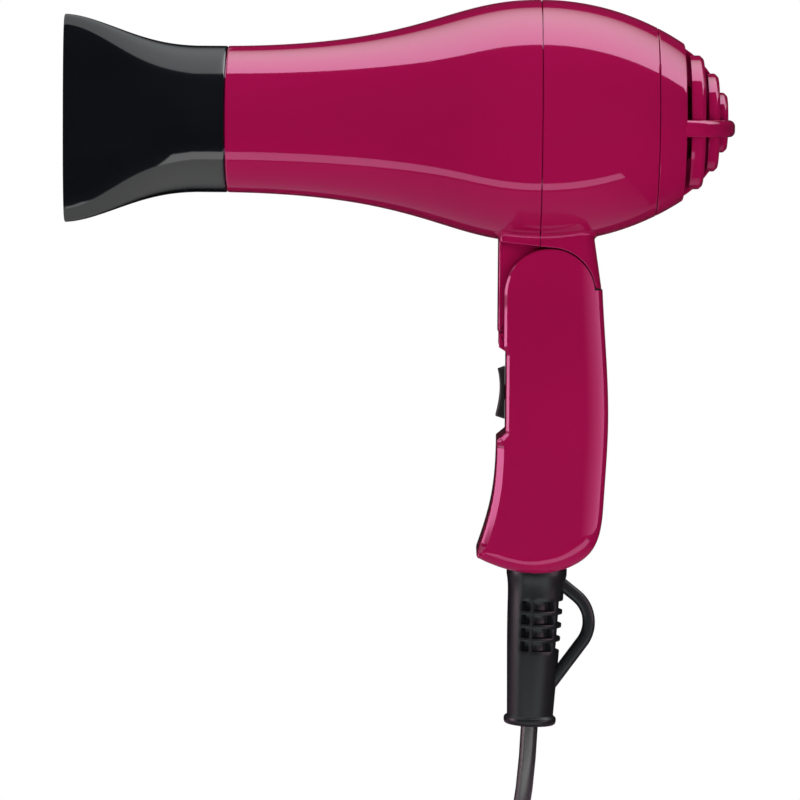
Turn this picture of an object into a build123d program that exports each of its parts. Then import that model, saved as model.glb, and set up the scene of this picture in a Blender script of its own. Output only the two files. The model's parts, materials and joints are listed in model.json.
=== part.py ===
from build123d import *
from math import asin, atan2, cos, degrees, hypot, pi, radians, sin, sqrt, tan
import os

# Folding travel hair dryer, in millimetres.
# X runs along the barrel with the nozzle at -X, Y across the handle, Z up.
# The origin is in the middle of the grip, straight below the hinge.

# Hinge, and the neck's height from the hinge to the crest of the barrel
hinge_z = 43.5
neck_height = 16.6

# Barrel shell
outlet_x = -106.0
seam_x = -3.2
cap_seam_x = 34.8
cap_end_x = 43.8
outlet_r = 24.1
crest_r = 39.9
flare_reach = 66.0
flare_rise = 0.66
crest_reach = 32.0
rear_crown_r = 85.0
shell_wall = 2.0
lip_length = 3.0
lip_wall = 1.5
slip_fit = 0.2

# Outlet spigot that carries the nozzle
spigot_length = 11.0
spigot_step = 2.3
spigot_wall = 1.8

# Concentrator nozzle
nozzle_gap = 0.4
collar_length = 10.0
mouth_reach = 43.7
mouth_half_height = 34.3
mouth_half_width = 8.2
mouth_power = 2.8
nozzle_wall = 1.7
nozzle_turn_fit = 0.3
flare_lag = 1.25
flare_share = 0.85
nozzle_steps = 5
oval_steps = 24

# Folding neck: the tongue sits between the cheeks of the handle
neck_front_x = -16.8
neck_half_width = 14.4
neck_rear_round = 5.0
neck_front_round = 2.6
neck_blend = 2.0
neck_sink = 8.0
steep_angle = 60.0
tongue_half_width = 9.0
tongue_hub_r = 12.4
tongue_edge_round = 1.4
horn_gap = 0.5
horn_top_x = 14.9
horn_foot_x = 17.1
horn_foot_rise = 2.4
neck_underside_rise = 1.8
wire_duct_depth = 6.0
wire_duct_half_width = 5.0
wire_duct_front_x = -12.0

# Handle outline, side view
cheek_r = 14.9
shoulder_rise = 1.4
shoulder_x = 17.5
rear_crown = (19.8, 2.0)
rear_waist = (18.6, -24.5)
heel = (14.5, -41.5)
sole = (-2.9, -48.7)
toe_under = (-22.4, -43.6)
toe = (-23.1, -41.6)
shin = (-18.6, -26.0)
ramp_foot = (-16.9, -4.4)
recess_x = -14.0
recess_foot_z = -2.0
recess_head_z = 23.7
strip_x = -16.4
strip_foot_z = 26.0
strip_head_z = 30.6
strip_half_width = 12.0
shoulder_lead = (1.0, -20.0)
toe_lead = (1.0, 3.0)

# Handle shells
handle_half_width = 14.5
handle_wall = 2.4
sole_thickness = 4.4
handle_rear_round = 5.0
handle_front_round = 1.6
cavity_head_z = 24.5
floor_front_inset = 7.2
ramp_room = 0.5
cheek_gap = 0.3
sweep_gap = 0.5
slot_rear_x = 15.0
slot_foot_z = 25.1

# Screws of the handle
screw_shank_r = 1.45
screw_head_r = 2.9
screw_head_length = 2.2
screw_boss_r = 3.6
screw_fit = 0.1
screw_end_gap = 3.5
screw_sink = 1.2
screw_places = ((9.5, 8.0), (6.0, -27.0))

# Hinge pin and washers
pin_r = 3.0
pin_fit = 0.08
pin_half_length = 12.4
pin_end_gap = 0.1
washer_r = 7.0
washer_wall = 0.8

# Slide switch
button_z = 10.5
button_length = 17.1
button_half_width = 5.0
button_head_rise = 2.6
button_waist_rise = 1.9
button_foot_rise = 3.2
button_draft = 0.9
button_round = 0.6
button_gap = 0.25
stem_height = 5.0
stem_half_width = 2.0
stem_reach = 2.6
stem_gap = 0.35
switch_travel = 3.2
switch_depth = 11.0
switch_height = 21.0
switch_half_width = 6.0

# Strain relief and hang loop
relief_top = (-3.1, -49.9)
relief_foot = (-5.0, -100.0)
relief_mouth_r = 10.0
relief_waist_r = 9.2
relief_waist_drop = 9.0
relief_foot_r = 7.7
mouth_lead = (-1.0, -4.0)
relief_inset = 2.2
relief_neck_r = 7.4
relief_head_gap = 0.7
relief_head_r = 9.2
relief_head_height = 3.0
relief_fit = 0.2
flange_r = 8.7
flange_height = 3.2
flange_draft = 0.8
window_rows = 4
window_height = 3.1
window_pitch = 4.5
window_drop = 9.9
window_depth = 3.4
window_spans = ((-31.0, -11.0), (-5.0, 44.0), (58.0, 92.0))
loop_width = 4.6
loop_depth = 5.4
loop_round = 1.5
loop_bend = 7.0
loop_places = ((6.7, 1.6), (17.5, 9.6), (18.4, 18.6), (5.2, 38.1))

# Mains cord, wound up on the surface below
cord_d = 5.8
cord_fit = 0.1
cord_run = 36.0
cord_heading = (-0.8, 0.6)
cord_dips = (60.0, 30.0, 0.0)
bend_share = 0.45
coil_pitch = 6.4
coil_rise = 6.35
coil_outer_r = 45.0
coil_half_turns = 6
tail_run = 22.0
tail_swing = 6.0
tie_wall = 0.8
tie_length = 6.0
tie_gap = 0.3
tie_angle = 150.0
heading_step = 0.5
samples_per_turn = 48

# Mains plug
plug_half_height = 12.0
plug_half_width = 17.6
plug_length = 40.0
plug_neck_r = 5.0
plug_neck_length = 12.0
plug_neck_flare = 0.7
plug_shoulder_length = 27.0
plug_shoulder = (14.6, 10.4)
plug_power = 3.0
plug_pin_r = 2.4
plug_pin_length = 19.0
plug_pin_spacing = 19.0
plug_pin_round = 1.0

# Inlet grille
dome_back = 15.1
dome_overlap = 0.08
ring_shares = (0.8554, 0.626, 0.383)
ring_depths = (3.5, 2.6, 2.3)
ring_wall = 1.4
ring_face = 3.4
ring_bevel = 1.2
hub_share = 0.1866
hub_depth = 3.0
rim_round = 0.8
spoke_half_width = 0.9
spoke_sink = 1.2
spoke_depth = 8.0
bar_root_inset = 1.8
bar_sink = 0.83
bar_proud = 2.2
bar_drop = 2.0
bar_half_height = 2.8
bar_depth = 3.4
bar_round = 1.2

# Outlet grille and heater, in front of the fan
grille_thickness = 2.0
grille_ring_shares = (0.297, 0.525, 0.753)
grille_hub_r = 2.5
grille_wire = 1.1
grille_frame = 2.4
grille_spoke_count = 6
heater_rear_x = -52.0
sleeve_gap = 0.6
sleeve_wall = 0.6
board_thickness = 1.0
board_fit = 0.15
board_edge_room = 6.5
board_tab_length = 3.0
board_inset = 2.0
heater_wire_d = 1.1
heater_turns = 6
heater_margin = 5.0
heater_gap = 0.05
thermostat_size = (8.0, 4.0, 6.0)
thermostat_place = (-62.0, -7.5)
fuse_r = 1.4
fuse_length = 11.0
fuse_place = (-64.0, 8.0)

# Air guide, motor and fan
guide_wall = 1.5
guide_gap = 6.4
guide_cone_x = -22.0
guide_rear_x = 20.0
guide_flange = 1.8
guide_flange_gap = 0.5
vane_count = 7
vane_wall = 1.2
vane_tilt = 20.0
vane_length = 15.0
vane_middle_x = -10.0
cup_wall = 1.5
cup_length = 20.0
cup_hole_r = 4.0
motor_r = 13.9
motor_length = 38.0
motor_rear_x = 2.0
motor_round = 1.5
motor_fit = 0.1
shaft_r = 1.6
shaft_fit = 0.06
shaft_inset = 2.0
fan_front_x = 6.0
fan_length = 12.0
fan_tip_gap = 1.0
fan_hub_r = 8.0
fan_hub_round = 2.5
fan_bore_fit = 0.02
blade_count = 7
blade_wall = 1.4
blade_chord = 13.0
blade_span = 50.0
blade_tilt = 38.0
rectifier_r = 11.5
rectifier_hole_r = 3.0
rectifier_wall = 1.6
diode_count = 4
diode_r = 1.3
diode_length = 5.0
diode_ring_r = 7.0

# Cord clamp inside the handle
clamp_above_sole = 12.0
clamp_height = 5.0
clamp_half_length = 8.5
clamp_wall = 2.2
clamp_screw_x = 5.8
clamp_screw_r = 1.2
clamp_screw_head_r = 2.2
clamp_screw_head_length = 1.5
clamp_screw_depth = 6.0
inner_cord_rise = 22.0

# Worked out from the sizes above
reach = 400.0
axis_above_hinge = neck_height + crest_r
barrel_axis_z = hinge_z + axis_above_hinge
ACROSS = Vector(0, 1, 0)
ALONG = Vector(1, 0, 0)
UP = Vector(0, 0, 1)
barrel_axis = Axis((0, 0, barrel_axis_z), (1, 0, 0))
cord_r = cord_d / 2
spigot_r = outlet_r - spigot_step
spigot_in = spigot_r - spigot_wall
sleeve_r = outlet_r - shell_wall - sleeve_gap
board_half_width = sleeve_r - board_edge_room
outlet_grille_x = outlet_x + spigot_wall
heater_front_x = outlet_grille_x + grille_thickness
motor_front_x = motor_rear_x - motor_length
guide_r = crest_r - guide_gap
guide_in = guide_r - guide_wall
dome_x = cap_end_x - dome_back
bar_root_x = cap_end_x - bar_root_inset
relief_drop = Vector(relief_foot[0] - relief_top[0], 0, relief_foot[1] - relief_top[1])
relief_length = relief_drop.length
relief_neck_height = sole[1] + sole_thickness + relief_head_gap - relief_top[1]
relief_down = relief_drop.normalized()
relief_plane = Plane((relief_top[0], 0, relief_top[1]), x_dir=ACROSS.cross(-relief_down), z_dir=-relief_down)
clamp_z = sole[1] + clamp_above_sole
clamp_x = relief_top[0] + relief_down.X / relief_down.Z * (clamp_z - relief_top[1])


def side(x, z):
    """A point of an outline on the middle plane of the dryer."""
    return Vector(x, 0, z)


def barrel(x, r):
    """A point of a barrel profile, at a radius above the barrel axis."""
    return Vector(x, 0, barrel_axis_z + r)


def hinge(x, z):
    """A point of an outline, measured from the hinge."""
    return Vector(x, 0, hinge_z + z)


def slab(edges, y_low, y_high):
    """A side outline carried across the dryer."""
    face = make_face(edges)
    return extrude(Pos(0, y_low, 0) * face, amount=y_high - y_low, dir=ACROSS)


def turned(edges):
    """A closed profile turned about the barrel axis."""
    return revolve(make_face(edges), axis=barrel_axis)


def turned_ring(x_low, x_high, r_in, r_out):
    """A plain ring or disc on the barrel axis."""
    corners = (barrel(x_low, r_in), barrel(x_high, r_in), barrel(x_high, r_out), barrel(x_low, r_out))
    return turned(Polyline(*corners, close=True))


def cross_pin(x, z, r, y_low, y_high):
    """A round pin across the dryer."""
    return Pos(x, (y_low + y_high) / 2, z) * Rot(90, 0, 0) * Cylinder(r, y_high - y_low)


def block(x_low, x_high, y_low, y_high, z_low, z_high):
    """A square block between its corners."""
    centre = Pos((x_low + x_high) / 2, (y_low + y_high) / 2, (z_low + z_high) / 2)
    return centre * Box(x_high - x_low, y_high - y_low, z_high - z_low)


def along_barrel(solid, x, r, turn):
    """Moves a piece made at the origin to a place round the barrel axis."""
    return Pos(x, 0, barrel_axis_z) * Rot(turn, 0, 0) * Pos(0, 0, r) * solid


def oval(plane, half_x, half_y, power):
    """A closed round outline between an ellipse and a rounded block, on a plane."""
    points = []
    for step in range(oval_steps):
        angle = 2 * pi * step / oval_steps
        across = abs(cos(angle)) ** (2 / power) * half_x
        up = abs(sin(angle)) ** (2 / power) * half_y
        local = Vector(across if cos(angle) > 0 else -across, up if sin(angle) > 0 else -up, 0)
        points.append(plane.from_local_coords(local))
    return make_face(Spline(*points, periodic=True))


def flare_edge(wall):
    """The profile edge of the front housing, set in by a wall thickness."""
    start = barrel(outlet_x, outlet_r - wall)
    lead_out = barrel(outlet_x + flare_reach, outlet_r + flare_rise - wall)
    lead_in = barrel(seam_x - crest_reach, crest_r - wall)
    end = barrel(seam_x, crest_r - wall)
    return Bezier(start, lead_out, lead_in, end)


def crown_height(x, wall):
    """The radius of the rear crown at a place along the barrel."""
    drop = rear_crown_r - sqrt(rear_crown_r ** 2 - (x - seam_x) ** 2)
    return crest_r - drop - wall


def crown_arc(x_from, x_to, wall):
    """The arc of the rear crown between two places along the barrel."""
    x_mid = (x_from + x_to) / 2
    points = [barrel(x, crown_height(x, wall)) for x in (x_from, x_mid, x_to)]
    return ThreePointArc(*points)


def barrel_body(wall):
    """The barrel from the outlet to the cap, filled to its axis."""
    front = flare_edge(wall)
    rear = crown_arc(seam_x, cap_seam_x, wall)
    closing = Polyline(rear @ 1, barrel(cap_seam_x, 0), barrel(outlet_x, 0), front @ 0)
    return turned(front + rear + closing)


def horn_outline():
    """The full-width part of the neck, open round the cheeks of the handle."""
    arc_r = cheek_r + horn_gap
    foot_angle = asin(horn_foot_rise / arc_r)
    top = neck_height + neck_sink
    start = hinge(neck_front_x, top)
    under_front = hinge(neck_front_x, arc_r + neck_underside_rise)
    under_top = hinge(0, arc_r)
    arc_mid = hinge(arc_r * sin(pi / 4), arc_r * cos(pi / 4))
    arc_end = hinge(arc_r * cos(foot_angle), horn_foot_rise)
    foot = hinge(horn_foot_x, horn_foot_rise)
    head = hinge(horn_top_x, neck_height)
    back = hinge(horn_top_x, top)
    return (
        Polyline(start, under_front, under_top)
        + ThreePointArc(under_top, arc_mid, arc_end)
        + Polyline(arc_end, foot, head, back, start)
    )


def tongue_outline():
    """The narrow part of the neck that turns on the hinge pin."""
    top = neck_height + neck_sink
    start = hinge(neck_front_x, top)
    toe_front = hinge(neck_front_x, -tongue_hub_r)
    hub_foot = hinge(0, -tongue_hub_r)
    hub_mid = hinge(tongue_hub_r * sin(pi / 4), -tongue_hub_r * cos(pi / 4))
    hub_rear = hinge(tongue_hub_r, 0)
    back = hinge(tongue_hub_r, top)
    return (
        Polyline(start, toe_front, hub_foot)
        + ThreePointArc(hub_foot, hub_mid, hub_rear)
        + Polyline(hub_rear, back, start)
    )


def wall_edges(solid, half_width, wanted):
    """The edges on the two side walls of a block whose middle point is wanted."""
    found = []
    for edge in solid.edges():
        middle = edge.position_at(0.5)
        if abs(abs(middle.Y) - half_width) < pin_fit and wanted(edge, middle):
            found.append(edge)
    return found


def is_steep(edge):
    """Whether an edge runs more up than along."""
    return abs(edge.tangent_at(0.5).Z) > sin(radians(steep_angle))


def neck_horn():
    """The full-width top of the neck, with the horn that follows the cheeks at the back."""
    horn = slab(horn_outline(), -neck_half_width, neck_half_width)
    rear_x = horn_top_x - slip_fit
    rear = wall_edges(horn, neck_half_width, lambda edge, middle: is_steep(edge) and middle.X > rear_x)
    horn = fillet(rear, neck_rear_round)
    front_x = neck_front_x + slip_fit
    front = wall_edges(horn, neck_half_width, lambda edge, middle: is_steep(edge) and middle.X < front_x)
    return fillet(front, neck_front_round)


def neck_tongue():
    """The narrow tongue that turns between the cheeks."""
    tongue = slab(tongue_outline(), -tongue_half_width, tongue_half_width)
    front = wall_edges(tongue, tongue_half_width, lambda edge, middle: middle.X < neck_front_x + slip_fit)
    return fillet(front, tongue_edge_round)


def neck_meeting(body):
    """The curves where the neck leaves the round of the barrel."""
    found = []
    least_r = crown_height(horn_foot_x, shell_wall)
    for edge in body.edges():
        middle = edge.position_at(0.5)
        out = hypot(middle.Y, middle.Z - barrel_axis_z)
        on_round = least_r < out < crest_r + slip_fit
        if edge.geom_type == GeomType.BSPLINE and on_round and middle.Z < barrel_axis_z:
            found.append(edge)
    return found


def barrel_with_neck():
    """The whole barrel shell with its neck, before it is parted at the seam."""
    body = barrel_body(0) + neck_horn()
    body = fillet(neck_meeting(body), neck_blend)
    body = body + neck_tongue() - barrel_body(shell_wall)
    half = wire_duct_half_width
    duct_rear_x = wire_duct_front_x + wire_duct_depth
    duct_foot = hinge_z - tongue_hub_r - shell_wall
    body = body - block(wire_duct_front_x, duct_rear_x, -half, half, duct_foot, barrel_axis_z - outlet_r)
    return body - cross_pin(0, hinge_z, pin_r + pin_fit, -neck_half_width, neck_half_width)


def front_housing(body):
    """Front of the barrel with the outlet spigot and the front half of the neck."""
    half = split(body, bisect_by=Plane.YZ.offset(seam_x), keep=Keep.BOTTOM)
    spigot = turned_ring(outlet_x - spigot_length, outlet_x, spigot_in, spigot_r)
    web = turned_ring(outlet_x, outlet_grille_x, spigot_in, outlet_r - shell_wall / 2)
    return half + spigot + web


def rear_housing(body):
    """Rear of the barrel with its two lap lips and the rear half of the neck."""
    half = split(body, bisect_by=Plane.YZ.offset(seam_x), keep=Keep.TOP)
    lip_r = crest_r - shell_wall - slip_fit
    cap_lip_r = crown_height(cap_seam_x + lip_length, shell_wall + slip_fit)
    lip = turned_ring(seam_x - lip_length, seam_x + lip_length, lip_r - lip_wall, lip_r)
    lip_root = turned_ring(seam_x, seam_x + lip_length, lip_r - lip_wall, lip_r + slip_fit + shell_wall / 4)
    web_x = cap_seam_x - lip_wall
    web = turned_ring(web_x, cap_seam_x, cap_lip_r - lip_wall, crown_height(cap_seam_x, shell_wall / 2))
    cap_lip = turned_ring(web_x, cap_seam_x + lip_length, cap_lip_r - lip_wall, cap_lip_r)
    return half + lip + lip_root + web + cap_lip


rim_r = crown_height(cap_end_x, 0)
dome_r = hypot(rim_r + dome_overlap, dome_back)
bar_root_r = crown_height(bar_root_x, bar_sink)
bar_tip_x = dome_x + dome_r + bar_proud
hub_r = rim_r * hub_share


def dome_place(r):
    """How far back the dome of the inlet grille stands at a radius."""
    return dome_x + sqrt(dome_r ** 2 - r ** 2)


def louver_ring(r, depth):
    """One stepped ring of the inlet grille: an outer wall, a bevel and a rear face."""
    corner = dome_place(r)
    face_x = corner + ring_bevel
    return turned(Polyline(
        barrel(corner - depth, r),
        barrel(corner, r),
        barrel(face_x, r - ring_bevel),
        barrel(face_x, r - ring_face),
        barrel(face_x - ring_wall, r - ring_face),
        barrel(face_x - ring_wall, r - ring_wall),
        barrel(corner - depth, r - ring_wall),
        close=True,
    ))


def grille_rim():
    """The solid rim of the rear cap, which carries on the crown of the housing."""
    outer = crown_arc(cap_seam_x, cap_end_x, 0)
    inner = crown_arc(cap_end_x, cap_seam_x, shell_wall)
    rim = turned(outer + Line(outer @ 1, inner @ 0) + inner + Line(inner @ 1, outer @ 0))
    rear_edges = [edge for edge in rim.edges() if edge.center().X > cap_end_x - slip_fit]
    return fillet(rear_edges, rim_round)


def band(outer, inner):
    """The face between two open curves that run the same way."""
    return make_face(outer + Line(outer @ 1, inner @ 1) + inner + Line(inner @ 0, outer @ 0))


def spoke_arc(r):
    """The arc of an upright spoke, from the top of the rim to its foot."""
    root_x = cap_end_x - shell_wall
    height = sqrt(r ** 2 - (root_x - dome_x) ** 2)
    return ThreePointArc(barrel(root_x, height), barrel(dome_x + r, 0), barrel(root_x, -height))


def grille_spokes():
    """The two thin upright spokes, sunk a little below the rings."""
    face = band(spoke_arc(dome_r - spoke_sink), spoke_arc(dome_r - spoke_sink - spoke_depth))
    return extrude(Pos(0, -spoke_half_width, 0) * face, amount=2 * spoke_half_width, dir=ACROSS)


def bar_arc(depth):
    """The round of the cross bar, seen from above, set in by a depth."""
    foot_z = barrel_axis_z - bar_drop - bar_half_height
    plane = Plane((bar_root_x, 0, foot_z), x_dir=ALONG, z_dir=UP)
    half_length = bar_tip_x - bar_root_x - depth
    return plane * EllipticalCenterArc((0, 0), half_length, bar_root_r - depth, -90, arc_size=180)


def grille_bar():
    """The thick bar across the inlet grille, proud of the rings."""
    bar = extrude(band(bar_arc(0), bar_arc(bar_depth)), amount=2 * bar_half_height, dir=UP)
    outer_edges = bar.edges().sort_by(SortBy.LENGTH)[-2:]
    return fillet(outer_edges, bar_round)


def inlet_grille():
    """Rear cap: rim, three stepped rings, hub, upright spokes and cross bar in one moulding."""
    hub_x = dome_place(hub_r)
    cap = grille_rim() + grille_spokes() + turned_ring(hub_x - hub_depth, hub_x, 0, hub_r)
    for share, depth in zip(ring_shares, ring_depths):
        cap = cap + louver_ring(rim_r * share, depth)
    return cap + grille_bar()


def nozzle_height(share):
    """Half the height of the nozzle at a share of the way from its collar to its mouth."""
    late = share ** flare_lag
    swell = flare_share * late ** 2 * (3 - 2 * late) + (1 - flare_share) * share
    return outlet_r + (mouth_half_height - outlet_r) * swell


def nozzle_width(share):
    """Half the width of the nozzle at a share of the way from its collar to its mouth."""
    return outlet_r + (mouth_half_width - outlet_r) * share ** 2 * (3 - 2 * share)


def nozzle_section(step, wall_at):
    """A cross-section of the nozzle, counted in steps from the start of its flare, set in by a wall."""
    share = step / nozzle_steps
    flared = max(share, 0)
    wall = wall_at(flared)
    x = outlet_x - nozzle_gap - collar_length - share * mouth_reach
    plane = Plane((x, 0, barrel_axis_z), x_dir=ACROSS, z_dir=ALONG)
    power = 2 + (mouth_power - 2) * flared
    return oval(plane, nozzle_width(flared) - wall, nozzle_height(flared) - wall, power)


def duct_wall(share):
    """The wall of the nozzle's air duct, thicker where it narrows to the spigot's bore."""
    return nozzle_wall + (outlet_r - spigot_in - nozzle_wall) * (1 - share) ** 2


def concentrator_nozzle():
    """Round collar drawn out to a flat upright slot, open right through."""
    collar_steps = collar_length / mouth_reach * nozzle_steps
    outer_steps = [-collar_steps, -collar_steps / 2] + list(range(nozzle_steps + 1))
    body = loft([nozzle_section(step, lambda share: 0) for step in outer_steps])
    duct = loft([nozzle_section(step, duct_wall) for step in range(nozzle_steps + 2)])
    socket_foot = outlet_x - spigot_length - nozzle_gap
    socket = turned_ring(socket_foot, outlet_x, 0, spigot_r + nozzle_turn_fit)
    return body - duct - socket


def outlet_grille():
    """Round guard behind the nozzle, seated on the step of the spigot."""
    frame_r = outlet_r - shell_wall - slip_fit
    rear_x = heater_front_x
    guard = turned_ring(outlet_grille_x, rear_x, frame_r - grille_frame, frame_r)
    guard = guard + turned_ring(outlet_grille_x, rear_x, 0, grille_hub_r)
    for share in grille_ring_shares:
        r = frame_r * share
        guard = guard + turned_ring(outlet_grille_x, rear_x, r, r + grille_wire)
    arm = Box(grille_thickness, grille_wire, frame_r - grille_frame / 2)
    for step in range(grille_spoke_count):
        turn = 360 * step / grille_spoke_count
        middle_x = outlet_grille_x + grille_thickness / 2
        guard = guard + along_barrel(arm, middle_x, (frame_r - grille_frame / 2) / 2, turn)
    return guard


def heater_sleeve():
    """Mica sleeve round the heater."""
    return turned_ring(heater_front_x, heater_rear_x, sleeve_r - sleeve_wall, sleeve_r)


def mica_board(slot_low_x, slot_high_x):
    """One of the crossed boards that carry the coil, upright, with its half slot."""
    x_low = heater_front_x + board_inset
    x_high = heater_rear_x - board_inset
    half = board_thickness / 2
    tab_half = sleeve_r - sleeve_wall - slip_fit
    low = barrel_axis_z - board_half_width
    board = block(x_low, x_high, -half, half, low, barrel_axis_z + board_half_width)
    for tab_x in (x_low, x_high - board_tab_length):
        tab_low = barrel_axis_z - tab_half
        board = board + block(tab_x, tab_x + board_tab_length, -half, half, tab_low, barrel_axis_z + tab_half)
    slot_half = half + board_fit
    slot_foot = barrel_axis_z - slot_half
    slot = block(slot_low_x, slot_high_x, -slot_half, slot_half, slot_foot, slot_foot + 2 * slot_half)
    return board - slot


def heater_coil():
    """The heating wire wound round the edges of the boards."""
    wire_r = heater_wire_d / 2
    coil_r = board_half_width + heater_gap + wire_r
    start_x = heater_front_x + board_inset + board_tab_length + heater_margin
    end_x = heater_rear_x - board_inset - board_tab_length - heater_margin
    length = end_x - start_x
    path = Helix(length / heater_turns, length, coil_r, center=(start_x, 0, barrel_axis_z), direction=ALONG)
    section = Plane(path @ 0, z_dir=path % 0) * Circle(wire_r)
    return sweep(section, path=path, is_frenet=True)


def thermostat():
    """Cut-out switch on the side of the upright board."""
    x, z = thermostat_place
    length, depth, height = thermostat_size
    face = board_thickness / 2
    z_low = barrel_axis_z + z - height / 2
    return block(x - length / 2, x + length / 2, face, face + depth, z_low, z_low + height)


def thermal_fuse():
    """Small fuse lying on the level board."""
    x, y = fuse_place
    z = barrel_axis_z + board_thickness / 2 + fuse_r
    return Pos(x, y, z) * Rot(0, 90, 0) * Cylinder(fuse_r, fuse_length)


def air_guide():
    """Cone and fan shroud with the stator vanes and the motor cup."""
    front_in = sleeve_r - sleeve_wall
    shell = turned(Polyline(
        barrel(heater_rear_x, front_in),
        barrel(guide_cone_x, guide_in),
        barrel(guide_rear_x, guide_in),
        barrel(guide_rear_x, guide_r),
        barrel(guide_cone_x, guide_r),
        barrel(heater_rear_x, front_in + guide_wall),
        close=True,
    ))
    flange_rear_x = seam_x - lip_length
    flange_r_out = crest_r - shell_wall - guide_flange_gap
    flange_r_in = guide_in + guide_wall / 2
    shell = shell + turned_ring(flange_rear_x - guide_flange, flange_rear_x, flange_r_in, flange_r_out)
    cup_in = motor_r + motor_fit
    cup_rear_x = motor_rear_x + cup_wall
    shell = shell + turned_ring(motor_rear_x - cup_length, cup_rear_x, cup_in, cup_in + cup_wall)
    shell = shell + turned_ring(motor_rear_x, cup_rear_x, cup_hole_r, cup_in + cup_wall)
    vane_low = cup_in + cup_wall / 2
    vane_high = guide_in + guide_wall / 2
    vane = Rot(0, 0, vane_tilt) * Box(vane_length, vane_wall, vane_high - vane_low)
    for step in range(vane_count):
        shell = shell + along_barrel(vane, vane_middle_x, (vane_low + vane_high) / 2, 360 * step / vane_count)
    return shell


def motor_can():
    """Round motor with the bore for its shaft."""
    can = turned_ring(motor_front_x, motor_rear_x, shaft_r + shaft_fit, motor_r)
    outer_edges = can.edges().filter_by(GeomType.CIRCLE).sort_by(lambda edge: edge.radius)[-2:]
    return fillet(outer_edges, motor_round)


def rectifier_board():
    """Round board on the front of the motor, with its diodes."""
    board = turned_ring(motor_front_x - rectifier_wall, motor_front_x, rectifier_hole_r, rectifier_r)
    diode = Rot(0, 90, 0) * Cylinder(diode_r, diode_length)
    diode_x = motor_front_x - rectifier_wall - diode_length / 2
    for step in range(diode_count):
        board = board + along_barrel(diode, diode_x, diode_ring_r, 360 * step / diode_count)
    return board


def motor_shaft():
    """Shaft from the motor into the hub of the fan."""
    return turned_ring(motor_front_x + shaft_inset, fan_front_x + fan_length - shaft_inset, 0, shaft_r)


def fan_impeller():
    """Fan with a rounded hub and tilted blades."""
    rear_x = fan_front_x + fan_length
    hub = turned_ring(fan_front_x, rear_x, 0, fan_hub_r)
    rear_edge = [edge for edge in hub.edges() if edge.center().X > rear_x - slip_fit]
    hub = fillet(rear_edge, fan_hub_round)
    tip_r = guide_in - fan_tip_gap
    blade_low = fan_hub_r / 2
    blade = Rot(0, 0, -blade_tilt) * Box(blade_chord, blade_wall, blade_span)
    middle_x = fan_front_x + fan_length / 2
    room = turned_ring(fan_front_x, rear_x, blade_low, tip_r)
    for step in range(blade_count):
        turn = 360 * step / blade_count
        hub = hub + (along_barrel(blade, middle_x, blade_low + blade_span / 2, turn) & room)
    shaft_end_x = rear_x - shaft_inset
    return hub - turned_ring(fan_front_x, shaft_end_x, 0, shaft_r + fan_bore_fit)


def handle_outline():
    """The side view of the handle, from its shoulder round the sole and back over the cheek."""
    shoulder_z = hinge_z + shoulder_rise
    cheek_end_x = sqrt(cheek_r ** 2 - shoulder_rise ** 2)
    start = side(shoulder_x, shoulder_z)
    rear_points = [side(*place) for place in (rear_crown, rear_waist, heel, sole)]
    back = Spline(start, *rear_points, tangents=[side(*shoulder_lead), -ALONG])
    under = TangentArc(side(*sole), side(*toe_under), tangent=-ALONG)
    front = Spline(side(*toe), side(*shin), side(*ramp_foot), tangents=[side(*toe_lead), UP])
    steps = Polyline(
        side(*ramp_foot),
        side(recess_x, recess_foot_z),
        side(recess_x, recess_head_z),
        side(-cheek_r, strip_foot_z),
        side(-cheek_r, hinge_z),
    )
    cheek = ThreePointArc(side(-cheek_r, hinge_z), side(0, hinge_z + cheek_r), side(cheek_end_x, shoulder_z))
    toe_cap = Line(side(*toe_under), side(*toe))
    return back + under + toe_cap + front + steps + cheek + Line(side(cheek_end_x, shoulder_z), start)


def handle_body():
    """The handle before it is hollowed, with its side edges rounded."""
    body = slab(handle_outline(), -handle_half_width, handle_half_width)
    half = handle_half_width
    back = wall_edges(body, half, lambda edge, middle: middle.X > 0 and middle.Z < cavity_head_z)
    body = fillet(back, handle_rear_round)
    front = wall_edges(body, half, lambda edge, middle: middle.X < recess_x / 2 and middle.Z > toe[1])
    return fillet(front, handle_front_round)


def front_strip():
    """The raised strip on the front of the cheeks, below the tongue, parted by the hinge slot."""
    root_x = recess_x + handle_wall / 2
    outline = Polyline(
        side(root_x, recess_head_z),
        side(recess_x, recess_head_z),
        side(strip_x, strip_foot_z),
        side(strip_x, strip_head_z),
        side(root_x, strip_head_z),
        close=True,
    )
    return slab(outline, -strip_half_width, strip_half_width)


def inward(place, x, z):
    """A place of the outline moved into the handle by whole or part walls."""
    return side(place[0] + x * handle_wall, place[1] + z * handle_wall)


def handle_cavity():
    """The hollow of the grip, between the floor over the sole and the hinge slot."""
    floor_z = sole[1] + sole_thickness
    head = side(rear_crown[0] - handle_wall, cavity_head_z)
    rear_points = [head, inward(rear_crown, -1, 0), inward(rear_waist, -1, 0), inward(heel, -1, 1)]
    rear = Spline(*rear_points)
    floor_rear = side(rear_points[-1].X - handle_wall, floor_z)
    floor_front = side(toe_under[0] + floor_front_inset, floor_z)
    front_points = [inward(toe, 1, 0), inward(shin, 1, 0), inward(ramp_foot, 1, -ramp_room)]
    front = Spline(*front_points)
    inner_x = recess_x + handle_wall
    ramp_head = side(inner_x, recess_foot_z - handle_wall / 2)
    closing = Polyline(front_points[-1], ramp_head, side(inner_x, cavity_head_z), head)
    outline = rear + Polyline(rear_points[-1], floor_rear, floor_front, front_points[0]) + front + closing
    half = handle_half_width - handle_wall
    return slab(outline, -half, half)


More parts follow.
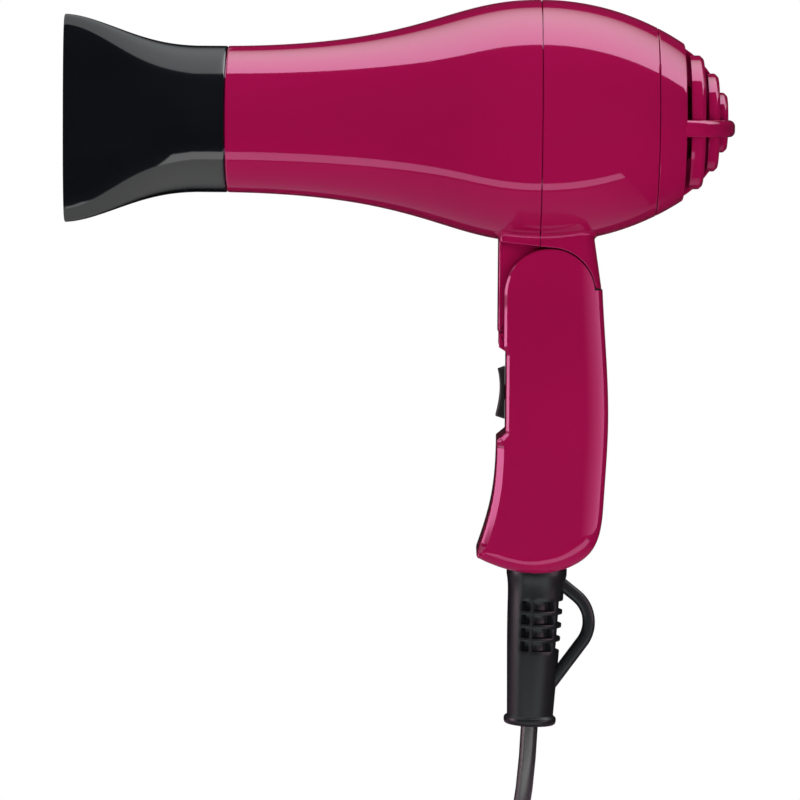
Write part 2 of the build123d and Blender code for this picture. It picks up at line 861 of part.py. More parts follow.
def hinge_slot():
    """The gap between the cheeks that the tongue sweeps as the dryer folds."""
    half = tongue_half_width + cheek_gap
    sweep_r = hypot(neck_front_x, tongue_hub_r) + sweep_gap
    swept = cross_pin(0, hinge_z, sweep_r, -half, half)
    swept = swept & block(-reach, slot_rear_x, -half, half, -reach, hinge_z)
    front = block(-reach, slot_rear_x, -half, half, slot_foot_z, reach)
    return swept + front


def relief_turned(*corners):
    """A ring turned on the strain relief's axis, from radius and height pairs."""
    outline = Polyline(*[side(r, z) for r, z in corners], close=True)
    return relief_plane.location * revolve(make_face(outline), axis=Axis.Z)


def relief_socket():
    """The room for the strain relief in the sole of the handle."""
    room = relief_mouth_r + relief_fit
    neck = relief_neck_r + relief_fit
    inset = relief_inset + relief_fit
    top = relief_neck_height + relief_head_height
    return relief_turned((0, -top), (room, -top), (room, inset), (neck, inset), (neck, top), (0, top))


def handle_shell():
    """Both halves of the handle in one, before they are parted on the middle plane."""
    inside = handle_half_width - handle_wall / 2
    body = handle_body() + front_strip() - handle_cavity() - hinge_slot() - relief_socket()
    for x, z in screw_places:
        body = body + cross_pin(x, z, screw_boss_r, -inside, inside)
    pad_low = clamp_z - clamp_height / 2
    pad_x = clamp_half_length
    pad_y = cord_r + cord_fit
    body = body + block(clamp_x - pad_x, clamp_x + pad_x, -inside, -pad_y, pad_low, pad_low + clamp_height)
    for x, z in screw_places:
        body = body - cross_pin(x, z, screw_shank_r + screw_fit, screw_end_gap - handle_half_width, reach)
        counterbore = handle_half_width - screw_sink - screw_head_length
        body = body - cross_pin(x, z, screw_head_r + screw_fit, counterbore, reach)
    for x in (clamp_x - clamp_screw_x, clamp_x + clamp_screw_x):
        body = body - cross_pin(x, clamp_z, clamp_screw_r + screw_fit, -pad_y - clamp_screw_depth, 0)
    pin_end = pin_half_length + pin_end_gap
    body = body - cross_pin(0, hinge_z, pin_r + pin_fit, -pin_end, pin_end)
    washer_end = tongue_half_width + cheek_gap + washer_wall
    body = body - cross_pin(0, hinge_z, washer_r + slip_fit, -washer_end, washer_end)
    stem_z = stem_height / 2 + switch_travel + stem_gap
    stem_y = stem_half_width + stem_gap
    return body - block(-reach, recess_x + handle_wall, -stem_y, stem_y, button_z - stem_z, button_z + stem_z)


def handle_screws():
    """The two screws that draw the handle halves together, let into the right half."""
    head_top = handle_half_width - screw_sink
    head_foot = head_top - screw_head_length
    screws = []
    for x, z in screw_places:
        head = cross_pin(x, z, screw_head_r, head_foot, head_top)
        tip = screw_end_gap + screw_fit - handle_half_width
        screws.append(head + cross_pin(x, z, screw_shank_r, tip, head_foot))
    return Compound(children=screws)


def hinge_washers():
    """Two flat washers let into the cheeks on each side of the tongue."""
    inner = tongue_half_width + cheek_gap
    washer = cross_pin(0, hinge_z, washer_r, inner, inner + washer_wall)
    washer = washer - cross_pin(0, hinge_z, pin_r + pin_fit, inner, inner + washer_wall)
    return Compound(children=[washer, mirror(washer, about=Plane.XZ)])


def switch_button():
    """Saddle-shaped slide button with the stem that reaches the switch."""
    base_x = recess_x - button_gap
    low = button_z - button_length / 2
    high = button_z + button_length / 2
    foot = side(recess_x - button_foot_rise, low + button_draft)
    waist = side(recess_x - button_waist_rise, button_z)
    head = side(recess_x - button_head_rise, high - button_draft)
    outline = Polyline(head, side(base_x, high), side(base_x, low), foot) + ThreePointArc(foot, waist, head)
    button = slab(outline, -button_half_width, button_half_width)
    proud = [edge for edge in button.edges() if edge.position_at(0.5).X < base_x - slip_fit]
    button = fillet(proud, button_round)
    half = stem_half_width
    stem_low = button_z - stem_height / 2
    stem_tip = recess_x + handle_wall + stem_reach
    return button + block(base_x, stem_tip, -half, half, stem_low, stem_low + stem_height)


def switch_body():
    """Switch block against the inside of the recess, open where the stem moves."""
    front_x = recess_x + handle_wall
    half = switch_half_width
    low = button_z - switch_height / 2
    body = block(front_x, front_x + switch_depth, -half, half, low, low + switch_height)
    stem_z = stem_height / 2 + switch_travel + stem_gap
    stem_y = stem_half_width + stem_gap
    pocket_x = front_x + stem_reach + stem_gap
    return body - block(front_x, pocket_x, -stem_y, stem_y, button_z - stem_z, button_z + stem_z)


def relief_window(middle, turn, span):
    """One window pocket of the strain relief, from a turn about its axis."""
    low = middle - window_height / 2
    floor_r = relief_waist_r - window_depth
    outline = Polyline(
        side(floor_r, low),
        side(relief_mouth_r, low),
        side(relief_mouth_r, low + window_height),
        side(floor_r, low + window_height),
        close=True,
    )
    return Rot(0, 0, turn) * revolve(make_face(outline), axis=Axis.Z, revolution_arc=span)


def hang_loop():
    """The flat loop on the back of the strain relief."""
    route = FilletPolyline(*[side(x, -drop) for x, drop in loop_places], radius=loop_bend)
    plane = Plane(route @ 0, x_dir=ACROSS, z_dir=route % 0)
    return sweep(plane * RectangleRounded(loop_depth, loop_width, loop_round), path=route)


def strain_relief():
    """Bend relief with its windows, end flange and hang loop."""
    head_top = relief_neck_height + relief_head_height
    flange_top = flange_height - relief_length
    mouth = side(relief_mouth_r, 0)
    foot = side(relief_foot_r, flange_top)
    waist = side(relief_waist_r, -relief_waist_drop)
    outline = (
        Polyline(
            side(0, head_top),
            side(relief_head_r, head_top),
            side(relief_head_r, relief_neck_height),
            side(relief_neck_r, relief_neck_height),
            side(relief_neck_r, relief_inset),
            side(relief_mouth_r, relief_inset),
            mouth,
        )
        + Spline(mouth, waist, foot, tangents=[side(*mouth_lead), foot - waist])
        + Polyline(
            foot,
            side(flange_r, flange_top - flange_draft),
            side(flange_r, flange_draft - relief_length),
            side(flange_r - flange_draft, -relief_length),
            side(0, -relief_length),
            side(0, head_top),
        )
    )
    relief = revolve(make_face(outline), axis=Axis.Z)
    for row in range(window_rows):
        middle = -window_drop - row * window_pitch
        for start, end in window_spans:
            relief = relief - relief_window(middle, start - 90, end - start)
            relief = relief - relief_window(middle, 90 - end, end - start)
    relief = relief + hang_loop()
    return relief_plane.location * (relief - Cylinder(cord_r + cord_fit, reach))


def inner_cord():
    """The end of the cord inside the strain relief and the handle."""
    foot = -relief_length
    return relief_turned((0, foot), (cord_r, foot), (cord_r, inner_cord_rise), (0, inner_cord_rise))


def cord_clamp():
    """Bar that holds the cord down on the pad of the left half."""
    y_low = cord_r + cord_fit
    half = clamp_half_length
    z_low = clamp_z - clamp_height / 2
    bar = block(clamp_x - half, clamp_x + half, y_low, y_low + clamp_wall, z_low, z_low + clamp_height)
    for x in (clamp_x - clamp_screw_x, clamp_x + clamp_screw_x):
        bar = bar - cross_pin(x, clamp_z, clamp_screw_r + screw_fit, 0, reach)
    return bar


def clamp_screws():
    """The two screws of the cord clamp."""
    head_foot = cord_r + cord_fit + clamp_wall
    tip = screw_fit - cord_r - cord_fit - clamp_screw_depth
    screws = []
    for x in (clamp_x - clamp_screw_x, clamp_x + clamp_screw_x):
        head = cross_pin(x, clamp_z, clamp_screw_head_r, head_foot, head_foot + clamp_screw_head_length)
        screws.append(head + cross_pin(x, clamp_z, clamp_screw_r, tip, head_foot))
    return Compound(children=screws)


def flat(angle):
    """A level direction at an angle from X."""
    return Vector(cos(radians(angle)), sin(radians(angle)), 0)


def cord_tube(path):
    """A round cord along a path."""
    section = Plane(path @ 0, z_dir=path % 0) * Circle(cord_r)
    return sweep(section, path=path)


def cord_path(points, name):
    """Straight runs joined by tangent arcs, as wide as the runs allow."""
    radii = []
    for before, corner, after in zip(points, points[1:], points[2:]):
        into = corner - before
        away = after - corner
        half_turn = radians(into.get_angle(away)) / 2
        radii.append(bend_share * min(into.length, away.length) / tan(half_turn))
    print(name, "bend radii", [round(radius, 1) for radius in radii])
    return FilletPolyline(*points, radius=radii)


def lead_points():
    """The cord from the strain relief down to the start of the coil."""
    points = [Vector(relief_foot[0], 0, relief_foot[1])]
    points.append(points[-1] + relief_down * cord_run)
    for dip in cord_dips:
        level = cos(radians(dip)) * cord_run
        fall = sin(radians(dip)) * cord_run
        points.append(points[-1] + Vector(cord_heading[0] * level, cord_heading[1] * level, -fall))
    return points


lead_route = lead_points()
heading_angle = degrees(atan2(cord_heading[1], cord_heading[0]))
coil_slant = degrees(atan2(coil_pitch / (2 * pi), coil_outer_r))
coil_start_angle = heading_angle - 90 - coil_slant
coil_start = lead_route[-1] + flat(heading_angle) * cord_d
coil_centre = coil_start - flat(coil_start_angle) * coil_outer_r
layer_turn = 180 * coil_half_turns + (180 - heading_angle + 2 * coil_slant) / 2
coil_turn = 2 * layer_turn + 180
coil_inner_r = coil_outer_r - coil_pitch * coil_turn / 2 / 360


def coil_radius(turn):
    """The coil's radius, winding in over the first half of its turns and out over the second."""
    from_middle = abs(turn - coil_turn / 2)
    return coil_inner_r + coil_pitch * from_middle / 360


def coil_point(turn):
    """A point on the coil after an angle turned, climbing to the second layer half way."""
    climb = min(max((turn - layer_turn) / 180, 0), 1)
    level = coil_rise * climb ** 2 * (3 - 2 * climb)
    return coil_centre + flat(coil_start_angle + turn) * coil_radius(turn) + UP * level


def coil_heading(turn):
    """The direction of the cord at an angle turned."""
    return (coil_point(turn + heading_step) - coil_point(turn - heading_step)).normalized()


def biarc(start, start_way, end, end_way):
    """Two tangent arcs from one point and direction to another."""
    span = end - start
    ways = start_way + end_way
    square = 2 * (start_way.dot(end_way) - 1)
    middle_term = -2 * span.dot(ways)
    reach_out = (-middle_term - sqrt(middle_term ** 2 - 4 * square * span.dot(span))) / (2 * square)
    join = (start + start_way * reach_out + end - end_way * reach_out) / 2
    first = Edge.make_tangent_arc(start, start_way, join)
    second = Edge.make_tangent_arc(join, first % 1, end)
    return [first, second]


def coil_path():
    """The wound cord: a straight lead, biarcs of up to half a turn, and a straight end."""
    stops = [180 * step for step in range(coil_half_turns + 1)]
    stops = stops + [layer_turn, layer_turn + 90, layer_turn + 180]
    stops = stops + [coil_turn - 180 * step for step in range(coil_half_turns, -1, -1)]
    ways = [coil_heading(turn) for turn in stops]
    ways[0] = flat(heading_angle)
    ways[-1] = flat(0)
    edges = [Edge.make_line(lead_route[-1], coil_start)]
    places = [coil_point(turn) for turn in stops]
    for step in range(len(stops) - 1):
        edges = edges + biarc(places[step], ways[step], places[step + 1], ways[step + 1])
    end = coil_point(coil_turn)
    edges.append(Edge.make_line(end, end + flat(0) * cord_d))
    return Wire(edges)


def tail_points():
    """The cord from the end of the coil to the plug, which lies on the same surface."""
    start = coil_point(coil_turn) + flat(0) * cord_d
    plug_z = coil_centre.Z - cord_r - tie_gap - tie_wall + plug_half_height
    points = [start, start + flat(0) * tail_run]
    points.append(points[-1] + flat(tail_swing) * tail_run + UP * (plug_z - start.Z))
    points.append(points[-1] + flat(0) * tail_run)
    return points


def least_coil_gap(path):
    """The least gap of the wound cord to itself, measured on points half a turn or more apart."""
    count = round(samples_per_turn * coil_turn / 360)
    points = [path @ (step / count) for step in range(count + 1)]
    apart = round(pi * coil_inner_r / path.length * count)
    least = reach
    for step, point in enumerate(points):
        for other in points[step + apart:]:
            least = min(least, (other - point).length)
    return least - cord_d


def cord_tie():
    """The band that holds the wound cord together."""
    first = (tie_angle - coil_start_angle) % 360
    turns = [first + 360 * step for step in range(coil_half_turns + 1) if first + 360 * step < coil_turn]
    radii = [coil_radius(turn) for turn in turns]
    width = max(radii) - min(radii) + cord_d + 2 * tie_gap
    height = coil_rise + cord_d + 2 * tie_gap
    middle = coil_centre + flat(tie_angle) * (max(radii) + min(radii)) / 2 + UP * coil_rise / 2
    plane = Plane(middle, x_dir=flat(tie_angle), z_dir=flat(tie_angle + 90))
    inner = RectangleRounded(width, height, cord_r)
    outer = RectangleRounded(width + 2 * tie_wall, height + 2 * tie_wall, cord_r + tie_wall)
    return extrude(plane * (outer - inner), amount=tie_length / 2, both=True)


def plug_body(place):
    """Moulded plug from the end of the cord, lying along X."""
    plane = Plane(place, x_dir=ACROSS, z_dir=ALONG)
    neck_plane = plane.offset(plug_neck_length)
    sections = [
        oval(plane, plug_neck_r, plug_neck_r, 2),
        oval(neck_plane, plug_neck_r + plug_neck_flare, plug_neck_r + plug_neck_flare, 2),
        oval(plane.offset(plug_shoulder_length), *plug_shoulder, plug_power),
        oval(plane.offset(plug_length), plug_half_width, plug_half_height, plug_power),
    ]
    return loft(sections)


def plug_pins(place):
    """The two round contact pins on the face of the plug."""
    pins = []
    for side_step in (-1, 1):
        middle = place + ALONG * (plug_length + plug_pin_length / 2)
        middle = middle + ACROSS * side_step * plug_pin_spacing / 2
        pin = Pos(*middle) * Rot(0, 90, 0) * Cylinder(plug_pin_r, plug_pin_length)
        tip = pin.edges().filter_by(GeomType.CIRCLE).sort_by(Axis.X)[-1]
        pins.append(fillet(tip, plug_pin_round))
    return Compound(children=pins)


def report_tube(name, tube, path):
    """Prints a cord's length and how its volume compares with section times length."""
    share = tube.volume / (pi * cord_r ** 2 * path.length)
    print(name, "length", round(path.length, 1), "volume share", round(share, 4))


tail_route = tail_points()
paths = {
    "cord_lead": cord_path(lead_route, "cord_lead"),
    "cord_coil": coil_path(),
    "cord_tail": cord_path(tail_route, "cord_tail"),
}
cords = {name: cord_tube(path) for name, path in paths.items()}
for name, path in paths.items():
    report_tube(name, cords[name], path)
print("least gap of the coil to itself", round(least_coil_gap(paths["cord_coil"]), 2))
print("lead route", [tuple(round(value, 2) for value in point) for point in lead_route])
print("tail route", [tuple(round(value, 2) for value in point) for point in tail_route])
print("coil centre", coil_centre, "layer turn", round(layer_turn, 2), "inner radius", round(coil_inner_r, 2))

barrel_shell = barrel_with_neck()
handle = handle_shell()
board_middle_x = (heater_front_x + heater_rear_x) / 2
upright_board = mica_board(heater_front_x, board_middle_x)
level_turn = Pos(0, 0, barrel_axis_z) * Rot(90, 0, 0) * Pos(0, 0, -barrel_axis_z)
nodes = {
    "handle_left": handle & block(-reach, reach, -reach, 0, -reach, reach),
    "handle_right": handle & block(-reach, reach, 0, reach, -reach, reach),
    "handle_screws": handle_screws(),
    "hinge_pin": cross_pin(0, hinge_z, pin_r, -pin_half_length, pin_half_length),
    "hinge_washers": hinge_washers(),
    "switch_body": switch_body(),
    "switch_button": switch_button(),
    "strain_relief": strain_relief(),
    "inner_cord": inner_cord(),
    "cord_clamp": cord_clamp(),
    "clamp_screws": clamp_screws(),
    "cord_tie": cord_tie(),
    "plug_body": plug_body(tail_route[-1]),
    "plug_pins": plug_pins(tail_route[-1]),
    "front_housing": front_housing(barrel_shell),
    "rear_housing": rear_housing(barrel_shell),
    "inlet_grille": inlet_grille(),
    "concentrator_nozzle": concentrator_nozzle(),
    "outlet_grille": outlet_grille(),
    "heater_sleeve": heater_sleeve(),
    "mica_board_upright": upright_board,
    "mica_board_level": level_turn * mica_board(board_middle_x, heater_rear_x),
    "heater_coil": heater_coil(),
    "thermostat": thermostat(),
    "thermal_fuse": thermal_fuse(),
    "air_guide": air_guide(),
    "motor_can": motor_can(),
    "rectifier_board": rectifier_board(),
    "motor_shaft": motor_shaft(),
    "fan_impeller": fan_impeller(),
}
nodes.update(cords)
os.makedirs("parts", exist_ok=True)
for name, solid in nodes.items():
    export_step(solid, f"parts/{name}.step")
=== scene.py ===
import json
from math import asin, atan2, cos, degrees, hypot, pi, radians, sin, sqrt

import bmesh
import bpy
import numpy
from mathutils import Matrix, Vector


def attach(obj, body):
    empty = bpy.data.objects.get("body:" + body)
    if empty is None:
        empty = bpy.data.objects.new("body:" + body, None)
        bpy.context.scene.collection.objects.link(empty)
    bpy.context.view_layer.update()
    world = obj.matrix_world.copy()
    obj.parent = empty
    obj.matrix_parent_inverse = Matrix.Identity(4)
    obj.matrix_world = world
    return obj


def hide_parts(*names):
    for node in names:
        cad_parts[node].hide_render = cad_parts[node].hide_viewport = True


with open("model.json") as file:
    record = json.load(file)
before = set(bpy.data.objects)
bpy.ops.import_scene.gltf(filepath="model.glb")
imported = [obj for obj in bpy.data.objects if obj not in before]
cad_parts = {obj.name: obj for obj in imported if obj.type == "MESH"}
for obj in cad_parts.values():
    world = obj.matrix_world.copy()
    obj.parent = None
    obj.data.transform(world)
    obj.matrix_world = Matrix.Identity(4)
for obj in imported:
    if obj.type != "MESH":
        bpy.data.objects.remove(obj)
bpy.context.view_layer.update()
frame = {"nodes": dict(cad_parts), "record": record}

# Folding travel hair dryer. Sizes are in millimetres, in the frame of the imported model:
# X runs along the barrel with the nozzle at -X, Y across the handle, Z up.
MM = 0.001

# Hinge, barrel and its seams
hinge_z = 43.5
axis_z = 100.0
outlet_x = -106.0
seam_x = -3.2
cap_seam_x = 34.8
cap_end_x = 43.8
outlet_r = 24.1
crest_r = 39.9
flare_lead = (-40.0, 24.76)
crest_lead_x = -35.2
rear_crown_r = 85.0
shell_wall = 2.0
seam_half_gap = 0.11
edge_break = 0.3
edge_lead = 0.15
fine_edge = 0.3
lip_length = 3.0
lip_wall = 1.5
lip_fit = 0.2

# Outlet spigot and concentrator nozzle
spigot_length = 11.0
spigot_r = 21.8
spigot_in = 20.0
nozzle_gap = 0.4
collar_length = 10.0
mouth_reach = 43.7
mouth_half_height = 34.3
mouth_half_width = 8.2
mouth_power = 2.8
nozzle_wall = 1.7
flare_lag = 1.25
flare_share = 0.85
socket_r = 22.1
# Its rim: back from the mouth as a share of the lip, and in from the outer face
mouth_lip = 0.5
mouth_edge = ((1, 0), (0.3, 0.12), (0, 0.5), (0, 1.2), (0.3, 1.58), (1, nozzle_wall))

# Folding neck
neck_front_x = -16.8
neck_half_width = 14.4
neck_rear_round = 5.0
neck_front_round = 2.6
neck_blend = 2.4
neck_sink = 0.9
horn_arc_r = 15.4
horn_top = (14.9, 16.6)
horn_foot = (17.1, 2.0)
neck_underside_rise = 1.8
tongue_half_width = 9.0
tongue_hub_r = 12.4
tongue_round = 1.4
tongue_top = 17.6
tongue_back_x = 15.3

# Handle
cheek_r = 14.9
shoulder = (17.5, 44.9)
rear_crown = (19.8, 2.0)
rear_waist = (18.6, -24.5)
heel = (14.5, -41.5)
sole = (-2.9, -48.7)
toe_under = (-22.4, -43.6)
toe = (-23.1, -41.6)
shin = (-18.6, -26.0)
ramp_foot = (-16.9, -4.4)
recess_x = -14.0
recess_foot_z = -2.0
recess_head_z = 23.7
strip_x = -16.4
strip_foot_z = 26.0
strip_head_z = 30.6
strip_half_width = 12.0
strip_root = 1.2
strip_edge = 0.35
handle_half_width = 14.5
parting_half_gap = 0.02
parting_edge = 0.15
slot_half_width = 9.3
slot_rear_x = 15.0
slot_foot_z = 25.1
slot_sweep_r = 21.38
cut_reach = 60.0
screw_places = ((9.5, 8.0), (6.0, -27.0))
screw_head_r = 2.9
screw_head_taper = 0.86
screw_seat_y = 11.1
screw_top_y = 13.3
screw_bore_r = 3.0
screw_shank_r = 1.45
screw_tip_y = -10.9

# Slide switch button
button_z = 10.5
button_length = 17.1
button_half_width = 5.0
button_rises = (3.2, 1.9, 2.6)
button_draft = 0.9
button_gap = 0.25
button_round = 0.7
button_foot_edge = 0.25
stem_half_height = 2.5
stem_half_width = 2.0
stem_tip_x = -9.0
stem_root = 0.2
stem_edge = 0.2

# Strain relief and hang loop, along the relief's own axis
relief_top = (-3.1, -49.9)
relief_foot = (-5.0, -100.0)
relief_mouth_r = 10.0
relief_waist = (9.2, 9.0)
relief_foot_r = 7.7
relief_inset = 2.2
relief_room_drop = 12.0
flange_r = 8.7
flange_height = 3.2
flange_round = 1.1
window_rows = 4
window_height = 3.1
window_pitch = 4.5
window_drop = 9.9
window_floor_r = 5.8
window_soften = 0.25
window_spans = ((-31.0, -11.0), (-5.0, 44.0), (58.0, 92.0))
loop_width = 4.1
loop_depth = 5.4
loop_round = 1.5
loop_bend = 11.0
loop_places = ((6.7, 1.6), (17.5, 9.6), (18.4, 18.6), (5.2, 38.1))

# Inlet grille
dome_x = 28.7
dome_r = 29.89
ring_radii = (22.0, 16.1, 9.85)
ring_depths = (3.5, 2.6, 2.3)
ring_wall = 1.4
ring_face = 3.4
ring_bevel = 1.2
ring_break = 0.35
hub_r = 4.8
hub_depth = 3.0
hub_round = 0.6
hub_swell = 0.5
rim_round = 0.8
rim_inner_round = 0.5
spoke_half_width = 0.9
spoke_sink = 1.2
spoke_depth = 8.0
bar_root = (42.0, 26.06)
bar_tip_x = 60.79
bar_drop = 2.0
bar_half_height = 2.8
bar_depth = 3.4
bar_edge = 2.0

# Mains cord, its coil, tie and plug
cord_d = 5.8
cord_hole_r = 3.0
lead_route = (
    (-5.0, 0.0, -100.0),
    (-6.36, 0.0, -135.97),
    (-20.76, 10.8, -167.15),
    (-45.71, 29.51, -185.15),
    (-74.51, 51.11, -185.15),
)
cord_heading = degrees(atan2(0.6, -0.8))
coil_pitch = 6.4
coil_rise = 6.35
coil_outer_r = 45.0
coil_half_turns = 6
coil_points_per_turn = 16
tail_run = 22.0
tail_swing = 6.0
tie_wall = 0.8
tie_length = 6.0
tie_gap = 0.3
tie_angle = 150.0
tie_round = 0.3
inner_cord_top = 22.0
cord_end_round = 0.4
plug_length = 40.0
plug_half_width = 17.6
plug_half_height = 12.0
plug_neck_r = 5.0
plug_neck_length = 12.0
plug_power = 3.0
plug_pin_r = 2.4
plug_pin_round = 1.4
plug_pin_length = 19.0
plug_pin_spacing = 19.0

# How finely round shapes are divided
barrel_steps = 144
ring_steps = 96
relief_steps = 72
edge_steps = 9


# Materials

def new_material(name, colour, roughness):
    """A plastic, rubber or metal finish with its colour, roughness and grain left to the caller."""
    material = bpy.data.materials.new(name)
    material.use_nodes = True
    shader = material.node_tree.nodes["Principled BSDF"]
    shader.inputs["Base Color"].default_value = (*colour, 1)
    shader.inputs["Roughness"].default_value = roughness
    return material, material.node_tree, shader


def node(tree, kind, settings=None, **inputs):
    """Adds a node, with its settings, its values and what is linked into it."""
    made = tree.nodes.new(kind)
    for name, value in (settings or {}).items():
        setattr(made, name, value)
    for name, value in inputs.items():
        socket = made.inputs[name.replace("_", " ")]
        if isinstance(value, bpy.types.NodeSocket):
            tree.links.new(value, socket)
        else:
            socket.default_value = value
    return made


def noise(tree, scale, detail=3.0, stretch=(1, 1, 1)):
    """Noise in the object's own frame; the scale is in waves for each metre."""
    place = node(tree, "ShaderNodeTexCoord").outputs["Object"]
    spread = node(tree, "ShaderNodeMapping", Vector=place, Scale=stretch).outputs["Vector"]
    return node(tree, "ShaderNodeTexNoise", Vector=spread, Scale=scale, Detail=detail).outputs["Fac"]


def between(tree, factor, low, high):
    """A number between two values, led by a factor."""
    return node(tree, "ShaderNodeMapRange", Value=factor, To_Min=low, To_Max=high).outputs["Result"]


def shades(tree, factor, dark, pale):
    """A colour between two shades, led by a factor."""
    ramp = node(tree, "ShaderNodeValToRGB", Fac=factor)
    ramp.color_ramp.elements[0].color = (*dark, 1)
    ramp.color_ramp.elements[0].position = 0.3
    ramp.color_ramp.elements[1].color = (*pale, 1)
    ramp.color_ramp.elements[1].position = 0.7
    return ramp.outputs["Color"]


def finish_with(tree, shader, colour, roughness, height, depth):
    """Links a colour, a roughness and a fine relief into a shader."""
    tree.links.new(colour, shader.inputs["Base Color"])
    tree.links.new(roughness, shader.inputs["Roughness"])
    bump = node(tree, "ShaderNodeBump", Height=height, Strength=1.0, Distance=depth)
    tree.links.new(bump.outputs["Normal"], shader.inputs["Normal"])


def scaled(colour, factor):
    """A colour made darker or paler by a factor."""
    return tuple(channel * factor for channel in colour)


def moulded(name, colour, roughness, spread, grain, grain_scale=2500.0, tint=(1, 1, 1), gloss=0.5):
    """Moulded plastic: faint flow shades, a slightly uneven polish and a fine grain."""
    material, tree, shader = new_material(name, colour, roughness)
    flow = noise(tree, 35.0, 2.0, (0.4, 1, 1))
    polish = noise(tree, 180.0, 4.0)
    fine = noise(tree, grain_scale, 2.0)
    tone = shades(tree, flow, scaled(colour, 1 - spread), scaled(colour, 1 + spread))
    finish_with(tree, shader, tone, between(tree, polish, roughness * 0.8, roughness * 1.2), fine, grain)
    shader.inputs["Specular Tint"].default_value = (*tint, 1)
    shader.inputs["Specular IOR Level"].default_value = gloss
    return material


def metal(name, colour, roughness, brush=(1, 1, 1)):
    """Plain or plated metal with drawn lines and duller patches."""
    material, tree, shader = new_material(name, colour, roughness)
    shader.inputs["Metallic"].default_value = 1.0
    lines = noise(tree, 900.0, 3.0, brush)
    patches = noise(tree, 120.0, 3.0)
    tone = shades(tree, patches, scaled(colour, 0.85), scaled(colour, 1.08))
    polish = between(tree, lines, roughness * 0.7, roughness * 1.35)
    finish_with(tree, shader, tone, polish, lines, 0.00001)
    return material


def mica_sheet(name, colour):
    """Pressed mica: pale flakes in a brown binder."""
    material, tree, shader = new_material(name, colour, 0.45)
    place = node(tree, "ShaderNodeTexCoord").outputs["Object"]
    flakes = node(tree, "ShaderNodeTexVoronoi", Vector=place, Scale=420.0).outputs["Distance"]
    tone = shades(tree, flakes, scaled(colour, 1.25), scaled(colour, 0.7))
    finish_with(tree, shader, tone, between(tree, flakes, 0.3, 0.6), flakes, 0.00005)
    return material


magenta = (0.310, 0.0040, 0.058)
finishes = {
    "body_gloss": moulded("gloss_magenta", magenta, 0.05, 0.03, 0.0000003, 900.0, (1.0, 0.45, 0.8)),
    "nozzle_gloss": moulded("gloss_black", (0.0045, 0.0052, 0.0072), 0.09, 0.15, 0.0000004, 900.0),
    "switch_satin": moulded("satin_black_button", (0.012, 0.012, 0.0125), 0.42, 0.12, 0.000006),
    "relief_satin": moulded("satin_black_rubber", (0.0085, 0.0090, 0.0105), 0.33, 0.12, 0.000004,
                            2500.0, (0.88, 1.0, 0.99), 0.28),
    "cord_sheath": moulded("cord_rubber", (0.020, 0.020, 0.021), 0.25, 0.1, 0.000004, gloss=0.85),
    "tie_black": moulded("tie_rubber", (0.02, 0.02, 0.021), 0.55, 0.15, 0.00001),
    "inner_black": moulded("inner_black", (0.018, 0.018, 0.019), 0.5, 0.15, 0.00001),
    "fan_plastic": moulded("fan_black", (0.022, 0.022, 0.024), 0.4, 0.15, 0.000008),
    "washer_nylon": moulded("washer_nylon", (0.68, 0.66, 0.6), 0.4, 0.05, 0.000006),
    "board_green": moulded("board_green", (0.015, 0.09, 0.03), 0.35, 0.2, 0.00002, 700.0),
    "pin_plated": metal("pin_plating", (0.75, 0.74, 0.72), 0.16, (12, 1, 1)),
    "screw_steel": metal("screw_steel", (0.52, 0.52, 0.53), 0.3),
    "motor_steel": metal("motor_steel", (0.5, 0.5, 0.5), 0.34, (1, 10, 10)),
    "heater_wire": metal("heater_wire", (0.36, 0.33, 0.3), 0.4, (8, 1, 1)),
    "mica": mica_sheet("mica_sheet", (0.36, 0.25, 0.12)),
}


# Making meshes

def on_barrel(x, y, z):
    """A point measured from the barrel axis."""
    return Vector((x, y, axis_z + z))


def from_hinge(x, y, z):
    """A point measured from the hinge."""
    return Vector((x, y, hinge_z + z))


def in_frame(x, y, z):
    """A point of the frame, as outlines in the side view give it."""
    return Vector((x, y, z))


relief_fall = Vector((relief_foot[0] - relief_top[0], 0, relief_foot[1] - relief_top[1]))
relief_length = relief_fall.length
relief_up = -relief_fall.normalized()
relief_right = Vector((0, 1, 0)).cross(relief_up)


def on_relief(up, right, back):
    """A point measured from the top of the strain relief, along and across its axis."""
    return Vector((relief_top[0], back, relief_top[1])) + relief_right * right + relief_up * up


def joined(mesh, rows):
    """Faces between neighbouring closed rows of vertices, where a row of one vertex is a pole."""
    for row, after in zip(rows, rows[1:]):
        count = max(len(row), len(after))
        for step in range(count):
            corners = [row[step % len(row)], row[(step + 1) % len(row)]]
            corners = corners + [after[(step + 1) % len(after)], after[step % len(after)]]
            mesh.faces.new(list(dict.fromkeys(corners)))


def skin(mesh, rings, length_closed=False, capped=False):
    """A skin over neighbouring rings of points, closed on itself or capped at its ends if asked."""
    rows = [[mesh.verts.new(point * MM) for point in ring] for ring in rings]
    joined(mesh, rows + rows[:1] if length_closed else rows)
    if capped:
        mesh.faces.new(rows[0])
        mesh.faces.new(rows[-1])
    return rows


def turned(mesh, profile, place, steps, closed=True):
    """A profile of places along an axis and radii, turned about that axis."""
    rings = []
    for along, r in profile:
        angles = [2 * pi * step / steps for step in range(steps)] if r > 0 else [0]
        rings.append([place(along, r * cos(angle), r * sin(angle)) for angle in angles])
    return skin(mesh, rings, length_closed=closed)


def part_way(start, end, step, count):
    """A place some steps of a count on the way from one place to another."""
    return tuple(first + (last - first) * step / count for first, last in zip(start, end))


